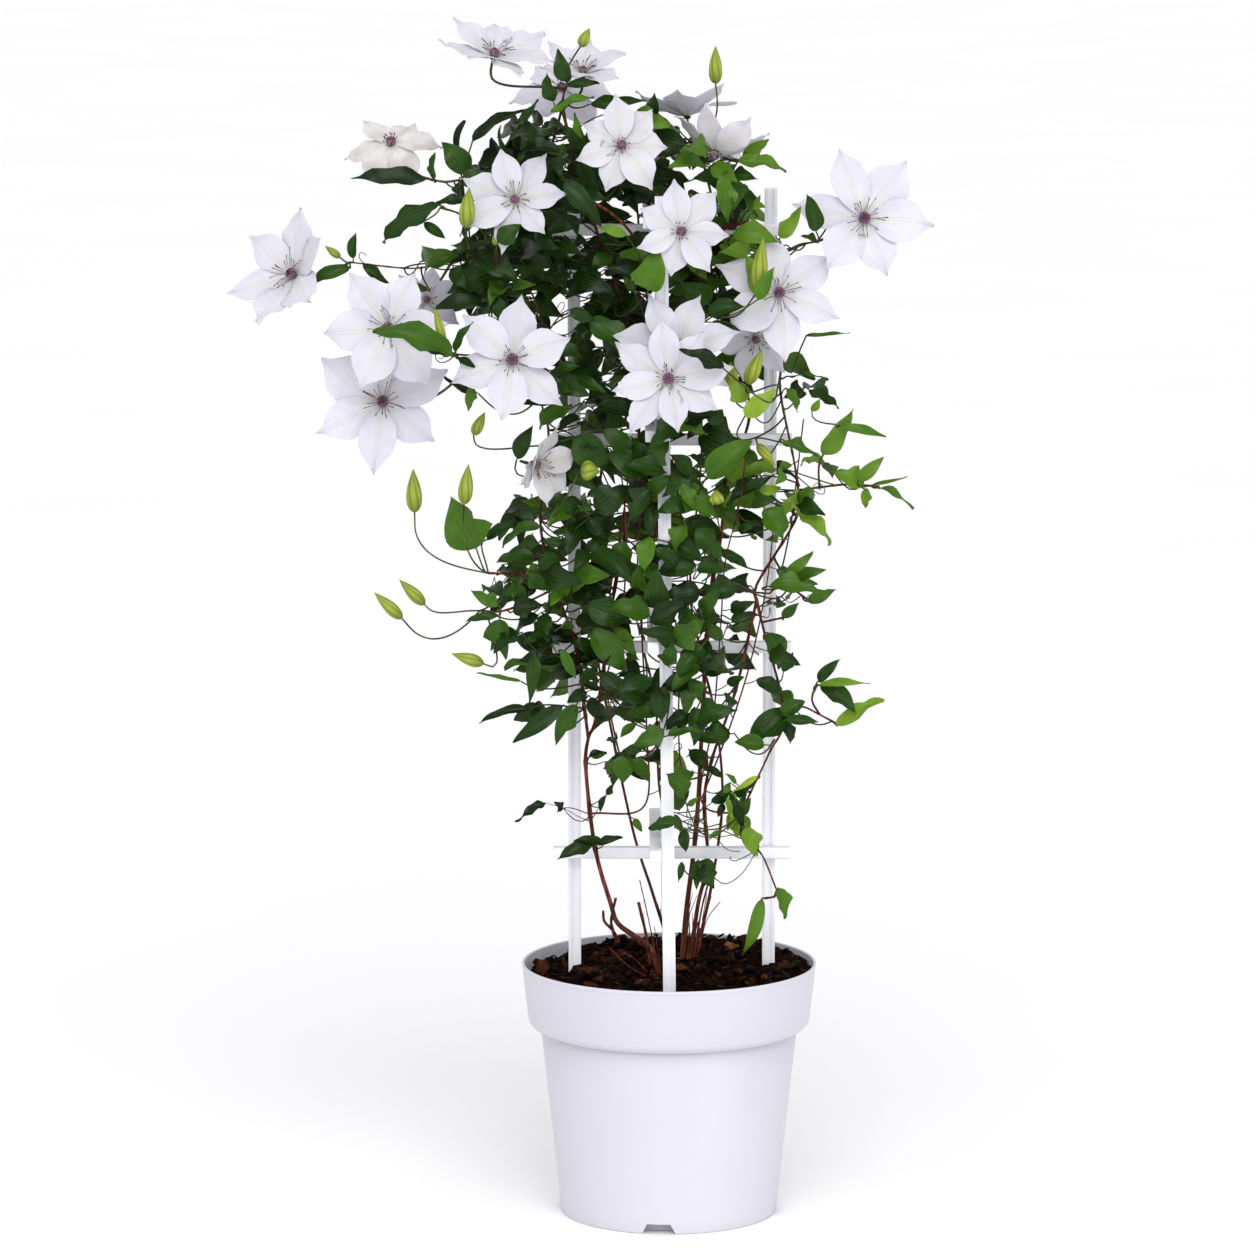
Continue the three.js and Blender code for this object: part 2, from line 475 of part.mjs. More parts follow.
function ringRound(centre, { side, normal }, radius, count, start = 0) {
  return Array.from({ length: count }, (_, i) => {
    const turn = start + 2 * Math.PI * i / count;
    return centre.clone().addScaledVector(side, radius * Math.cos(turn))
      .addScaledVector(normal, radius * Math.sin(turn));
  });
}

// Any direction that isn't along the given one.
const asideOf = (along) => (Math.abs(along.x) < 0.8 * along.length() ? vec(1, 0, 0) : vec(0, 1, 0));

function tube(points, radii, count) {
  const frames = framesAlong(points, asideOf(points[1].clone().sub(points[0])));
  return loft(points.map((point, i) => ringRound(point, frames[i], radii[i], count)));
}

const samples = [];            // points on every stem that a stalk may grow from

function sampleStem(vine, points) {
  for (let i = 0; i + 1 < points.length; i += 1) {
    const pieces = Math.max(1, Math.ceil(points[i].distanceTo(points[i + 1]) / 8));
    for (let k = 0; k < pieces; k += 1) {
      samples.push({ vine, point: points[i].clone().lerp(points[i + 1], k / pieces) });
    }
  }
  samples.push({ vine, point: points.at(-1).clone() });
}

// The stem points to grow a stalk from, best first: near, not above the stalk's end, and no
// two from the same stretch.
function roots(end, allow = () => true) {
  const cost = ({ point }) => point.distanceTo(end) + 0.7 * Math.max(0, point.z - end.z + 6);
  const sorted = samples.filter((s) => allow(s) && s.point.distanceTo(end) > 5)
    .map((s) => ({ ...s, cost: cost(s) })).sort((a, b) => a.cost - b.cost);
  const best = [];
  for (const candidate of sorted) {
    if (best.every((other) => other.point.distanceTo(candidate.point) > 18)) best.push(candidate);
    if (best.length === 4) break;
  }
  return best;
}

const vines = {};              // vine name to the solids that are joined in its node

function grow(vine, kind, solid) {
  vines[vine] ??= [];
  vines[vine].push(solid);
  keep(vine, kind, solid);
}

// Canes whose first point is at the soil's surface have their foot in the soil.
const isRooted = ({ points }) => points[0][2] < POT.height + 40;

function growCanes() {
  for (const { vine: side, radii, points } of CANES) {
    const vine = `vine_${side}`;
    const path = points.map((p) => vec(...p));
    if (isRooted({ points })) path.unshift(vec(path[0].x, path[0].y, CANE_FOOT));
    const size = path.map((_, i) => THREE.MathUtils.lerp(radii[0], radii[1], i / (path.length - 1)));
    grow(vine, 'stem', tube(path, size, radii[0] > 2.5 ? CANE_SIDES : CANE_SIDES - 1));
    sampleStem(vine, path.filter((p) => p.z > POT.height + 20));
  }
}

function growShoots() {
  for (const points of SHOOTS) {
    const path = points.map((p) => vec(...p));
    const root = samples.reduce((a, b) => (a.point.distanceTo(path[0]) <= b.point.distanceTo(path[0]) ? a : b));
    path[0] = root.point.clone();
    const size = path.map((_, i) => THREE.MathUtils.lerp(1.5, 1.2, i / (path.length - 1)));
    grow(root.vine, 'stem', tube(path, size, 4));
    sampleStem(root.vine, path.slice(1));
  }
}

// Points of a stalk from a stem to its end, arriving along the given direction.
function stalkPoints(start, end, arrive, bend) {
  const span = start.distanceTo(end);
  const sag = vec(...bend).multiplyScalar(span);
  const curve = new THREE.CubicBezierCurve3(start, start.clone().lerp(end, 0.33).add(sag),
    end.clone().addScaledVector(arrive, -0.35 * span).add(sag), end);
  const pieces = span < 30 ? 1 : 2;
  return curve.getPoints(pieces);
}

// ---- Leaves -----------------------------------------------------------------------------
const leafOutline = (s) => Math.sin(Math.PI * s ** 0.75) ** 0.85 * (1 - 0.18 * s ** 3);
const sepalOutline = (s) => Math.sin(Math.PI * s ** 1.12) ** 0.8;

// A point of a blade's middle line, with its side and normal directions.
function bladeFrame(from, to, face, arch, s) {
  const chord = to.clone().sub(from);
  const length = chord.length();
  const along = chord.clone().normalize();
  const normal = face.clone().addScaledVector(along, -face.dot(along)).normalize();
  const side = along.clone().cross(normal);
  const centre = from.clone().lerp(to, s).addScaledVector(normal, 4 * arch * length * s * (1 - s));
  const slope = chord.addScaledVector(normal, 4 * arch * length * (1 - 2 * s)).normalize();
  return { centre, side, normal: side.clone().cross(slope) };
}

// A folded blade's section: left edge, upper rib, right edge, lower rib.
function bladeRing({ centre, side, normal }, half, rib, fold) {
  const out = half * Math.cos(fold);
  const rise = half * Math.sin(fold);
  return [
    centre.clone().addScaledVector(side, -out).addScaledVector(normal, rise),
    centre.clone().addScaledVector(normal, rib / 2),
    centre.clone().addScaledVector(side, out).addScaledVector(normal, rise),
    centre.clone().addScaledVector(normal, -rib / 2),
  ];
}

function leafRings(hub, tip, face, width) {
  const length = hub.distanceTo(tip);
  const stations = length < 42 ? [0.3, 0.7] : [0.18, 0.45, 0.76];
  const rib = Math.min(LEAF_RIB, 0.05 * length + 0.3);
  return stations.map((s) => bladeRing(bladeFrame(hub, tip, face, LEAF_ARCH, s),
    0.5 * width * length * leafOutline(s), rib * (1 - 0.4 * s), rad(LEAF_FOLD)));
}

// A stalk's ring: left, top, right.
function stalkRing(centre, frame) {
  const [left, right, top] = ringRound(centre, frame, LEAF_STALK, 3, rad(210));
  return [left, top, right];
}

// A leaf in one piece: a three-sided stalk that opens into the four-sided blade, which
// adds its lower rib between the stalk's right and left.
function leafSolid(stalk, blade, tip) {
  const points = [...stalk.flat(), ...blade.flat(), tip];
  const faces = [[0, 2, 1]];
  for (let k = 0; k + 1 < stalk.length; k += 1) {
    for (let i = 0; i < 3; i += 1) {
      const a = 3 * k + i;
      const b = 3 * k + (i + 1) % 3;
      faces.push([a, b, b + 3], [a, b + 3, a + 3]);
    }
  }
  const first = 3 * stalk.length;
  const [left, top, right] = [first - 3, first - 2, first - 1];
  faces.push([left, top, first + 1], [left, first + 1, first], [top, right, first + 1],
    [right, first + 2, first + 1], [right, left, first + 3], [right, first + 3, first + 2],
    [left, first, first + 3]);
  blade.forEach((_, k) => {
    for (let i = 0; i < 4; i += 1) {
      const a = first + 4 * k + i;
      const b = first + 4 * k + (i + 1) % 4;
      if (k === blade.length - 1) faces.push([a, b, points.length - 1]);
      else if (i % 2 === 0) faces.push([a, b, b + 4], [a, b + 4, a + 4]);
      else faces.push([a, b, a + 4], [b, b + 4, a + 4]);
    }
  });
  return solidOf(points, faces);
}

// A leaf turns its face to the light: out of the plant and up.
function leafFace(hub, tip, front, roll) {
  const along = tip.clone().sub(hub).normalize();
  return vec(hub.x / 300, front, 0.5).applyAxisAngle(along, rad(roll));
}

// Tries a leaf's places and stalks in turn, and grows the first that meets nothing.
function growLeaf(hub, tip, width, front, allow) {
  const roll = random(-22, 22);
  for (const [shift, turn] of SHIFTS) {
    const end = hub.clone().add(vec(0, shift, 0));
    const point = tip.clone().add(vec(0, shift, 0));
    const face = leafFace(end, point, front, roll + turn);
    const blade = leafRings(end, point, face, width);
    const frame = bladeFrame(end, point, face, LEAF_ARCH, 0);
    const neck = stalkRing(end, frame);
    const bladeSolid = leafSolid([neck], blade, point);
    if (!clearOf(bladeSolid, (other) => other.kind !== 'stem')) continue;
    for (const root of roots(end, allow)) {
      const vine = root.vine;
      if (!clearOf(bladeSolid, (other) => other.node !== vine)) continue;
      for (const bend of BENDS) {
        const path = stalkPoints(root.point, end, point.clone().sub(end).normalize(), bend);
        const frames = framesAlong([...path].reverse(), frame.side).reverse();
        frames.forEach(({ normal }) => normal.negate());
        const rings = [...path.slice(0, -1).map((p, i) => stalkRing(p, frames[i])), neck];
        const stalk = loft(rings);
        if (!clearOf(stalk, (other) => other.node !== vine)) continue;
        vines[vine].push(leafSolid(rings, blade, point));
        keep(vine, 'blade', bladeSolid);
        keep(vine, 'stem', stalk);
        return true;
      }
    }
  }
  return false;
}

// Pairs of leaves along the canes at the back, turned from pair to pair; those that would
// look to the front are left out.
function growBackLeaves() {
  const b = BACK_LEAVES;
  for (const vine of b.vines) {
    const line = samples.filter((s) => s.vine === vine && s.point.z > b.lowest && s.point.z < b.highest);
    let travelled = 0;
    let pair = 0;
    for (let i = 1; i < line.length; i += 1) {
      travelled += line[i].point.distanceTo(line[i - 1].point);
      if (travelled < b.pitch) continue;
      travelled = 0;
      pair += 1;
      for (const half of [0, 180]) {
        const turn = rad(pair * b.turn + half + random(-12, 12));
        const out = vec(Math.cos(turn), Math.sin(turn), 0);
        if (out.y < -b.facing) continue;
        const hub = line[i].point.clone().addScaledVector(out, b.stalk).addScaledVector(UP, 0.3 * b.stalk);
        const length = b.length * random(0.85, 1.15);
        const tip = hub.clone().addScaledVector(out, length).addScaledVector(UP, random(-0.45, 0.15) * length);
        growLeaf(hub, tip, b.width, 1, (s) => s.vine === vine);
      }
    }
  }
}

// ---- Buds and blooms ----------------------------------------------------------------------
const BUD_SHAPE = [[0, 0.3], [0.14, 0.8], [0.4, 1], [0.72, 0.62]];

function growBud({ base, tip, girth }) {
  const from = vec(...base);
  const to = vec(...tip);
  const along = to.clone().sub(from).normalize();
  for (const root of roots(from)) {
    for (const bend of BENDS) {
      const path = stalkPoints(root.point, from, along, bend);
      const middle = path.length - 1;
      const line = [...path, ...BUD_SHAPE.slice(1).map(([s]) => from.clone().lerp(to, s))];
      const frames = framesAlong(line, asideOf(along));
      const size = line.map((_, i) => (i <= middle ? LEAF_STALK : BUD_SHAPE[i - middle][1] * girth / 2));
      const bud = loft(line.map((p, i) => ringRound(p, frames[i], size[i], 5)), to);
      if (!clearOf(bud, (other) => other.node !== root.vine || other.kind === 'blade')) continue;
      grow(root.vine, 'bud', bud);
      return true;
    }
  }
  return false;
}

// Directions of a bloom: its axis, and the two across it.
function bloomAxes(facing) {
  const axis = vec(...facing).normalize();
  const across = UP.clone().cross(axis).normalize();
  return { axis, side: across, normal: axis.clone().cross(across) };
}

// A place in a bloom: degrees round it, distance from its axis, and height along its axis.
function bloomPoint({ at }, { axis, side, normal }, turn, r, height) {
  return vec(...at).addScaledVector(axis, height).addScaledVector(side, r * Math.cos(rad(turn)))
    .addScaledVector(normal, r * Math.sin(rad(turn)));
}

// Rise of the sepals' upper faces per millimetre from the bloom's middle.
const slopeOf = ({ cup }) => Math.tan(rad(Math.max(cup, 0) + SEPAL_LIFT + 1));
const hubFront = (bloom) => HUB.front + HUB.radius * slopeOf(bloom);

// Neighbouring sepals lie a little in front of and behind each other.
function sepalLift(i, count) {
  if (count % 2 === 1 && i === count - 1) return 0;
  return i % 2 === 0 ? SEPAL_LIFT : -SEPAL_LIFT;
}

// The sections of a sepal from near its root to its tip: narrow enough at the root to clear
// its neighbours.
function sepalRings(bloom, axes, i) {
  const turn = bloom.spin + 360 * i / bloom.sepals + random(-3, 3);
  const lift = rad(bloom.cup + sepalLift(i, bloom.sepals) + random(-1, 1));
  const length = bloom.reach * random(0.93, 1.07);
  const from = bloomPoint(bloom, axes, turn, 1.2, 0);
  const tip = bloomPoint(bloom, axes, turn, length * Math.cos(lift), length * Math.sin(lift));
  const width = SEPAL_WIDTH - SEPAL_NARROWING * (bloom.sepals - 6);
  const rings = [0.2, 0.5, 0.8].map((s) => {
    const room = 0.93 * s * length * Math.tan(Math.PI / bloom.sepals);
    const half = 0.5 * width * length * sepalOutline(s);
    return bladeRing(bladeFrame(from, tip, axes.axis, 0.045, s), s < 0.3 ? Math.min(half, room) : half,
      SEPAL_RIB * (1 - 0.35 * s), rad(7));
  });
  return { rings, tip };
}

// A bloom's sepals in one piece. They grow from the rim of a small hub, which has a corner
// between each two sepals, and an upper and a lower one in the middle of each.
function sepalsSolid(bloom, axes) {
  const n = bloom.sepals;
  const rise = HUB.radius * Math.tan(rad(bloom.cup));
  const points = [bloomPoint(bloom, axes, 0, 0, hubFront(bloom)), bloomPoint(bloom, axes, 0, 0, -HUB.back)];
  for (let i = 0; i < n; i += 1) {
    const turn = bloom.spin + 360 * i / n;
    points.push(bloomPoint(bloom, axes, turn - 180 / n, HUB.radius, 0.6 * rise),
      bloomPoint(bloom, axes, turn, HUB.radius, 0.6 * rise + HUB.rib),
      bloomPoint(bloom, axes, turn, HUB.radius, 0.6 * rise - HUB.rib));
  }
  const faces = [];
  for (let i = 0; i < n; i += 1) {
    const right = 2 + 3 * i;
    const [upper, lower] = [right + 1, right + 2];
    const left = 2 + 3 * ((i + 1) % n);
    faces.push([0, upper, left], [0, right, upper], [1, lower, right], [1, left, lower]);
    const { rings, tip } = sepalRings(bloom, axes, i);
    let ring = [left, upper, right, lower];
    for (const next of rings) {
      const start = points.length;
      points.push(...next);
      for (let k = 0; k < 4; k += 1) {
        const [a, b] = [ring[k], ring[(k + 1) % 4]];
        const [c, d] = [start + k, start + (k + 1) % 4];
        if (k % 2 === 0) faces.push([a, b, d], [a, d, c]);
        else faces.push([a, b, c], [b, d, c]);
      }
      ring = [start, start + 1, start + 2, start + 3];
    }
    for (let k = 0; k < 4; k += 1) faces.push([ring[k], ring[(k + 1) % 4], points.length]);
    points.push(tip);
  }
  return solidOf(points, faces);
}

// Stamens: a domed crown with two tiers of filament tips standing out of it.
function crownSolid(bloom, axes) {
  const c = CROWN;
  const foot = hubFront(bloom) + GAP;
  const clearance = (r) => r * (slopeOf(bloom) + 0.18) + 1.7;
  const turns = Array.from({ length: c.points }, (_, i) => 360 * i / c.points);
  const tier = (height, inner, outer, turned) => turns.map((turn, i) => {
    const r = i % 2 === turned ? outer : inner;
    return bloomPoint(bloom, axes, turn, r, clearance(r) + height);
  });
  return loft([turns.map((turn) => bloomPoint(bloom, axes, turn, c.base, foot)), tier(0, c.inner, c.outer, 0),
    tier(2.6, c.inner + 1, c.outer - 2.5, 1)], bloomPoint(bloom, axes, 0, 0, foot + c.dome));
}

function makeBlooms() {
  BLOOMS.forEach((bloom, k) => {
    const axes = bloomAxes(bloom.facing);
    const name = String(k + 1).padStart(2, '0');
    addSolid(`sepals_${name}`, sepalsSolid(bloom, axes), COLOURS.sepal, 0.6);
    addSolid(`stamens_${name}`, crownSolid(bloom, axes), COLOURS.crown, 0.7);
  });
}

function addSolid(name, solid, colour, roughness) {
  addMesh(name, geometryOf(solid), colour, roughness);
  keep(name, 'bloom', solid);
}

// A flower stalk ends just short of the bloom's back, and runs along its axis.
function growFlowerStalk(bloom) {
  const { axis } = bloomAxes(bloom.facing);
  const end = vec(...bloom.at).addScaledVector(axis, -HUB.back - 1.3 * GAP);
  const back = end.clone().addScaledVector(axis, -HUB.neck);
  for (const root of roots(back)) {
    for (const bend of BENDS) {
      const path = [...stalkPoints(root.point, back, axis, bend), end];
      const stalk = tube(path, path.map(() => FLOWER_STALK), 3);
      if (!clearOf(stalk, (other) => other.node !== root.vine)) continue;
      grow(root.vine, 'stem', stalk);
      return true;
    }
  }
  return false;
}

// Joins a vine's solids into one body.
function addVine(name, parts) {
  const joined = wasm.Manifold.union(parts).simplify(0.01);
  const bodies = joined.decompose().sort((a, b) => b.volume() - a.volume());
  addMesh(name, geometryOf(bodies[0]), COLOURS.cane, 0.8);
}

// ---- Putting the plant together -----------------------------------------------------------
const trellis = makeTrellis();
for (const { name, solid } of trellis) keep(name, 'trellis', solid);
growCanes();
growShoots();
makeBlooms();

BLOOMS.forEach(growFlowerStalk);
BUDS.forEach(growBud);
for (const [hx, hy, hz, tx, ty, tz, width] of LEAVES) growLeaf(vec(hx, hy, hz), vec(tx, ty, tz), width, -1);
growBackLeaves();
for (const [vine, parts] of Object.entries(vines)) addVine(vine, parts);

let soil = makeSoil();
for (const { radii: [radius], points: [start, next] } of CANES.filter(isRooted)) {
  const path = [vec(start[0], start[1], CANE_FOOT - 1), vec(...start), vec(...next)];
  soil = soil.subtract(tube(path, path.map(() => radius + 2 * GAP), CANE_SIDES));
}
for (const post of trellis.filter(({ name }) => name.startsWith('post'))) soil = soil.subtract(post.hole);
addMesh('pot', geometryOf(makePot()), COLOURS.pot, 0.5);
addMesh('soil', geometryOf(soil), COLOURS.soil, 1);
export default plant;
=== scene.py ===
"""A white clematis on two crossed ladders in a nursery pot, dressed round its plain solids."""
import math
import random
from itertools import product

import bmesh
import bpy
from mathutils import Matrix, Quaternion, Vector
from mathutils.bvhtree import BVHTree
from mathutils.kdtree import KDTree
from mathutils.noise import noise


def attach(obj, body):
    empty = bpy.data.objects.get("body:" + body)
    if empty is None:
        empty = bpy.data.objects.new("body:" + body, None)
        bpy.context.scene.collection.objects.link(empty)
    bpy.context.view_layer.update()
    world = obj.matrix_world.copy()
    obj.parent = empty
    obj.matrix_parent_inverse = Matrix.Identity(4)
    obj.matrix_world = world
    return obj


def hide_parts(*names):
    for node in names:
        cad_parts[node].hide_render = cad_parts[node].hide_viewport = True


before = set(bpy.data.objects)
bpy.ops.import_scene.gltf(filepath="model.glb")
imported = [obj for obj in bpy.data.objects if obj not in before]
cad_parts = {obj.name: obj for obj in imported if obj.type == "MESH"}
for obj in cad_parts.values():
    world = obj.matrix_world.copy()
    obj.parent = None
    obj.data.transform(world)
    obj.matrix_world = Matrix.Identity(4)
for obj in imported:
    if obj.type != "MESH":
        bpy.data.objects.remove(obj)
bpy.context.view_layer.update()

# Lengths are in millimetres until a piece is finished, and then in metres. Angles that have a name
# or stand in a list are in degrees, unless their comment says otherwise.
MM = 0.001
UP = Vector((0, 0, 1))

# ---- Sizes that the solids have too ----
POT_HEIGHT, RIM_RADIUS, WALL, FLOOR = 224, 130, 2.2, 2.5
FOOT_RADIUS, FOOT_HEIGHT, BODY_RADIUS = 95.4, 11, 113.4
COLLAR_HEIGHT, COLLAR_RADIUS = 57, 124.4
# Notches under the foot: their number, the turn of the first, their widths and their reach inwards.
NOTCHES, NOTCH_TURN, NOTCH_TOP, NOTCH_FOOT = 4, -5.6, 20.5, 31
NOTCH_HEIGHT, NOTCH_REACH, NOTCH_ROOF = 9.4, 40, 2.2
# The soil's level, its rise to the right and to the back, its mound, and its dip along the wall.
SOIL_LEVEL, SOIL_RISE_X, SOIL_RISE_Y = 216.5, 0.035, 0.03
SOIL_MOUND, SOIL_MOUND_RADIUS = 9, 55
SOIL_DIP, DIP_START, DIP_END = 4, 95, 126
POST_MIDDLE, POST_REACH = 2.3, 85.5
LEAF_FOLD, LEAF_ARCH = 14, 0.1
SEPAL_WIDTH, SEPAL_NARROWING, SEPAL_LIFT, SEPAL_ARCH, SEPAL_FOLD = 0.6, 0.06, 4.5, 0.045, 7
HUB_BACK, HUB_FRONT, HUB_NECK, GAP = 2.5, 1, 9, 0.35
# How far a leaf may move back or forth and turn, and how a stalk may bend, to find room.
SHIFTS = [(0, 0), (-9, 0), (9, 0), (0, 28), (0, -28), (-16, 18), (16, -18), (-26, 0), (26, 10)]
BENDS = [(0, 0, 0), (0, -0.3, -0.1), (0, 0.3, -0.1), (-0.3, 0, -0.1), (0.3, 0, -0.1), (0, 0, -0.4),
         (-0.2, -0.2, 0.1), (0.2, -0.2, 0.1), (-0.45, 0, 0), (0.45, 0, 0)]
# Pairs of leaves along the canes at the back.
BACK_CANES = ("back_left", "back_right", "thin")
BACK_LOWEST, BACK_HIGHEST, BACK_PITCH, BACK_TURN = 400, 925, 46, 137.5
BACK_STALK, BACK_LENGTH, BACK_WIDTH, BACK_FACING = 22, 44, 0.55, 0.2

# ---- The studio ----
# The camera's place in metres, how far it looks down, and its lens.
CAMERA_PLACE, CAMERA_DIP, CAMERA_LENS = (-0.0371, -5.2907, 1.3283), 8.655, 175.25
# The sun's tilt from overhead, its turn, how soft its shadows are, and its power.
SUN_TILT, SUN_SIDE, SUN_SOFTNESS, SUN_POWER = 46, 4, 40, 1.5
SKY_COLOUR, SKY_POWER = (0.97, 0.97, 1, 1), 0.74

# ---- How much is grown and strewn ----
CHIPS, PEELED_STRIPS, CURLED_TENDRILS, SPREAD_STAMENS = 760, 4, 60, 18
TRIO_LEAVES, TRIO_TRIES, FRONT_TRIES = 720, 90000, 170
# Between which heights groups of leaflets, leaves before the front post, and tendrils start.
TRIO_BAND, FRONT_BAND, TENDRIL_BAND = (375, 985), (455, 740), (330, 900)
# Steps round the turned pot and soil.
POT_STEPS, SOIL_STEPS = 128, 112
# Blades' thickness, and the canes' thickness as a share of their solids'.
LEAF_THICKNESS, SEPAL_THICKNESS, CANE_SHARE = 0.45, 0.5, 0.7

# Where each seeded draw starts.
SEEDS = {"growth": 20417, "tones": 5, "young": 5, "chips": 88, "fill": 611, "small": 31, "shoots": 23,
         "tendrils": 77, "twigs": 9}

# ---- The plant's plan ----
VINES = ["left", "thin", "centre", "right", "back_left", "back_right"]
# The canes: vine, radius at both ends, and the places that each runs through.
CANES = [
    ("left", (4.2, 1.6), [
        (-15, -45, 242), (-29, -46, 255), (-45, -44, 267), (-51, -42, 283), (-65, -38, 333),
        (-73, -32, 401), (-71, -30, 429), (-63, -32, 453), (-48, -30, 560), (-36, -28, 621),
        (-28, -30, 672), (-27, -30, 713), (-31, -26, 770), (-45, -20, 821), (-62, -25, 869),
        (-93, -40, 978),
    ]),
    ("left", (2.2, 1), [
        (-71, -30, 429), (-75, -45, 465), (-81, -55, 511), (-105, -62, 587), (-112, -60, 626),
        (-108, -58, 669), (-105, -52, 703), (-112, -45, 733), (-108, -35, 779), (-121, -30, 822),
        (-147, -32, 845), (-181, -38, 850), (-207, -44, 844), (-229, -50, 843), (-275, -60, 849),
    ]),
    ("thin", (1.7, 1.3), [
        (-4, 25, 236), (-4, 25, 274), (-2, 24, 311), (-2, 22, 345), (-9, 20, 380), (-12, 18, 455),
        (-23, 16, 504), (-23, 14, 554), (-12, 14, 602), (-1, 14, 651), (-2, 18, 712),
        (-12, 20, 774), (-23, 22, 830), (-28, 20, 887), (-31, 12, 927),
    ]),
    ("centre", (4.6, 1.6), [
        (13, 8, 237), (16, 8, 273), (25, 10, 356), (34, 6, 528), (46, 6, 610), (49, 4, 652),
        (70, 4, 714), (47, 6, 793), (40, 6, 880), (24, -16, 951),
    ]),
    ("right", (3.8, 1.9), [
        (20, 0, 236), (26, 2, 277), (34, 4, 314), (31, -2, 369), (38, -6, 408), (58, -14, 469),
        (76, -24, 550),
    ]),
    ("right", (1.9, 1.1), [
        (76, -24, 550), (76, -24, 564), (105, -28, 613), (112, -28, 634), (109, -26, 667),
        (97, -22, 726), (96, -24, 750), (100, -2, 783), (96, 26, 817), (83, 34, 860),
        (55, 22, 877),
    ]),
    ("right", (1.8, 1.1), [
        (76, -24, 550), (82, -28, 525), (100, -42, 452), (86, -46, 417), (63, -46, 364),
        (67, -46, 343), (81, -44, 328), (94, -40, 296),
    ]),
    ("back_left", (2.6, 1.2), [
        (-1, 48, 233), (-15, 60, 276), (-34, 70, 338), (-63, 72, 482), (-70, 70, 546),
        (-59, 64, 671), (-68, 60, 743), (-94, 50, 858), (-104, 36, 938),
    ]),
    ("back_right", (2.6, 1.2), [
        (28, 48, 235), (39, 60, 285), (48, 66, 357), (42, 70, 429), (28, 72, 491), (19, 70, 554),
        (29, 66, 689), (13, 58, 823), (-1, 40, 921),
    ]),
]
# Side shoots. Each starts at the nearest cane.
SIDE_SHOOTS = [
    [(-112, -34, 893), (-146, -44, 901), (-163, -52, 910), (-178, -58, 919), (-193, -60, 918),
     (-208, -62, 921)],
    [(-147, -32, 845), (-159, -52, 872), (-179, -64, 890), (-197, -72, 897)],
    [(-108, -35, 779), (-129, -66, 773), (-165, -90, 772), (-183, -112, 775), (-184, -136, 777)],
    [(-90, -40, 965), (-92, -52, 988), (-88, -62, 1002)],
    [(-108, -62, 565), (-128, -74, 554), (-147, -82, 549), (-164, -84, 550)],
    [(-110, -62, 579), (-133, -68, 580), (-157, -72, 581)],
    [(-9, 20, 417), (-13, -30, 424), (-24, -52, 424), (-37, -58, 417)],
    [(31, -10, 924), (43, -40, 935), (58, -58, 936)],
    [(83, 34, 860), (98, 0, 854), (112, -36, 862), (127, -50, 866)],
    [(111, -28, 646), (130, -36, 651), (152, -40, 654), (172, -40, 653), (182, -40, 652)],
    [(130, -36, 651), (129, -40, 667), (132, -44, 679), (145, -45, 707)],
    [(100, -42, 452), (114, -46, 460), (131, -42, 452), (147, -40, 443)],
    [(131, -42, 452), (124, -42, 465), (128, -40, 479)],
    [(88, -29, 532), (99, -44, 538)],
    [(96, -26, 586), (104, -44, 567), (120, -48, 554)],
    [(94, -40, 298), (92, -44, 291), (81, -52, 291)],
]
# Middle, facing, reach, number of sepals, turn and cup of each bloom.
BLOOMS = [
    ((-151, -70, 1025), (0.2, -0.35, 0.91), 52, 7, 10, 14),
    ((-240, -40, 949), (-0.04, -0.64, 0.77), 45, 6, 5, -14),
    ((-75, -30, 1008), (0.05, -0.4, 0.91), 43, 6, 15, 20),
    ((-94, 25, 991), (0, -0.45, 0.89), 49, 6, 0, -12),
    ((-42, -85, 951), (0.05, -0.97, 0.18), 42, 7, -5, 4),
    ((15, 0, 970), (-0.1, 0.28, 0.95), 52, 6, 5, 18),
    ((39, -60, 944), (-0.3, -0.5, -0.81), 46, 6, 30, -34),
    ((-132, -90, 905), (-0.15, -0.95, 0.25), 45, 7, 5, 8),
    ((-322, -60, 837), (-0.6, -0.65, 0.45), 60, 6, 30, 25),
    ((-240, -118, 798), (-0.08, -0.96, 0.22), 57, 6, 5, 4),
    ((-246, -88, 731), (-0.05, -0.95, 0.3), 62, 6, 25, 3),
    ((-135, -112, 770), (0.05, -0.96, 0.25), 56, 6, 20, 4),
    ((9, -112, 880), (0, -0.99, 0.1), 43, 7, -3, 4),
    ((166, -50, 885), (0.15, -0.92, 0.35), 62, 6, -10, 6),
    ((93, -70, 823), (0.1, -0.94, 0.3), 57, 6, -25, 6),
    ((-2, -130, 756), (0, -0.97, 0.22), 52, 8, 10, 3),
    ((6, -101, 778), (0.03, -0.97, 0.22), 54, 7, 15, 4),
    ((-118, -80, 677), (0.75, -0.6, -0.1), 40, 6, 20, 30),
    ((74, -34, 780), (0.1, -0.98, -0.05), 38, 6, 10, 6),
    ((-210, -40, 814), (0.1, -0.93, 0.3), 33, 6, 20, 6),
]
# Blooms past their best, blooms with broad sepals, and how far the stamens of others have opened.
OLD_BLOOMS = {"02": 0.85, "07": 0.35, "05": 0.2, "18": 0.4}
FULL_BLOOMS = {"05": 1.2, "13": 1.08, "16": 1.06, "07": 1.15}
CLOSED_CROWNS = {"05": 0.5, "13": 0.55, "12": 0.8, "17": 0.75, "16": 0.8, "02": 0.5}
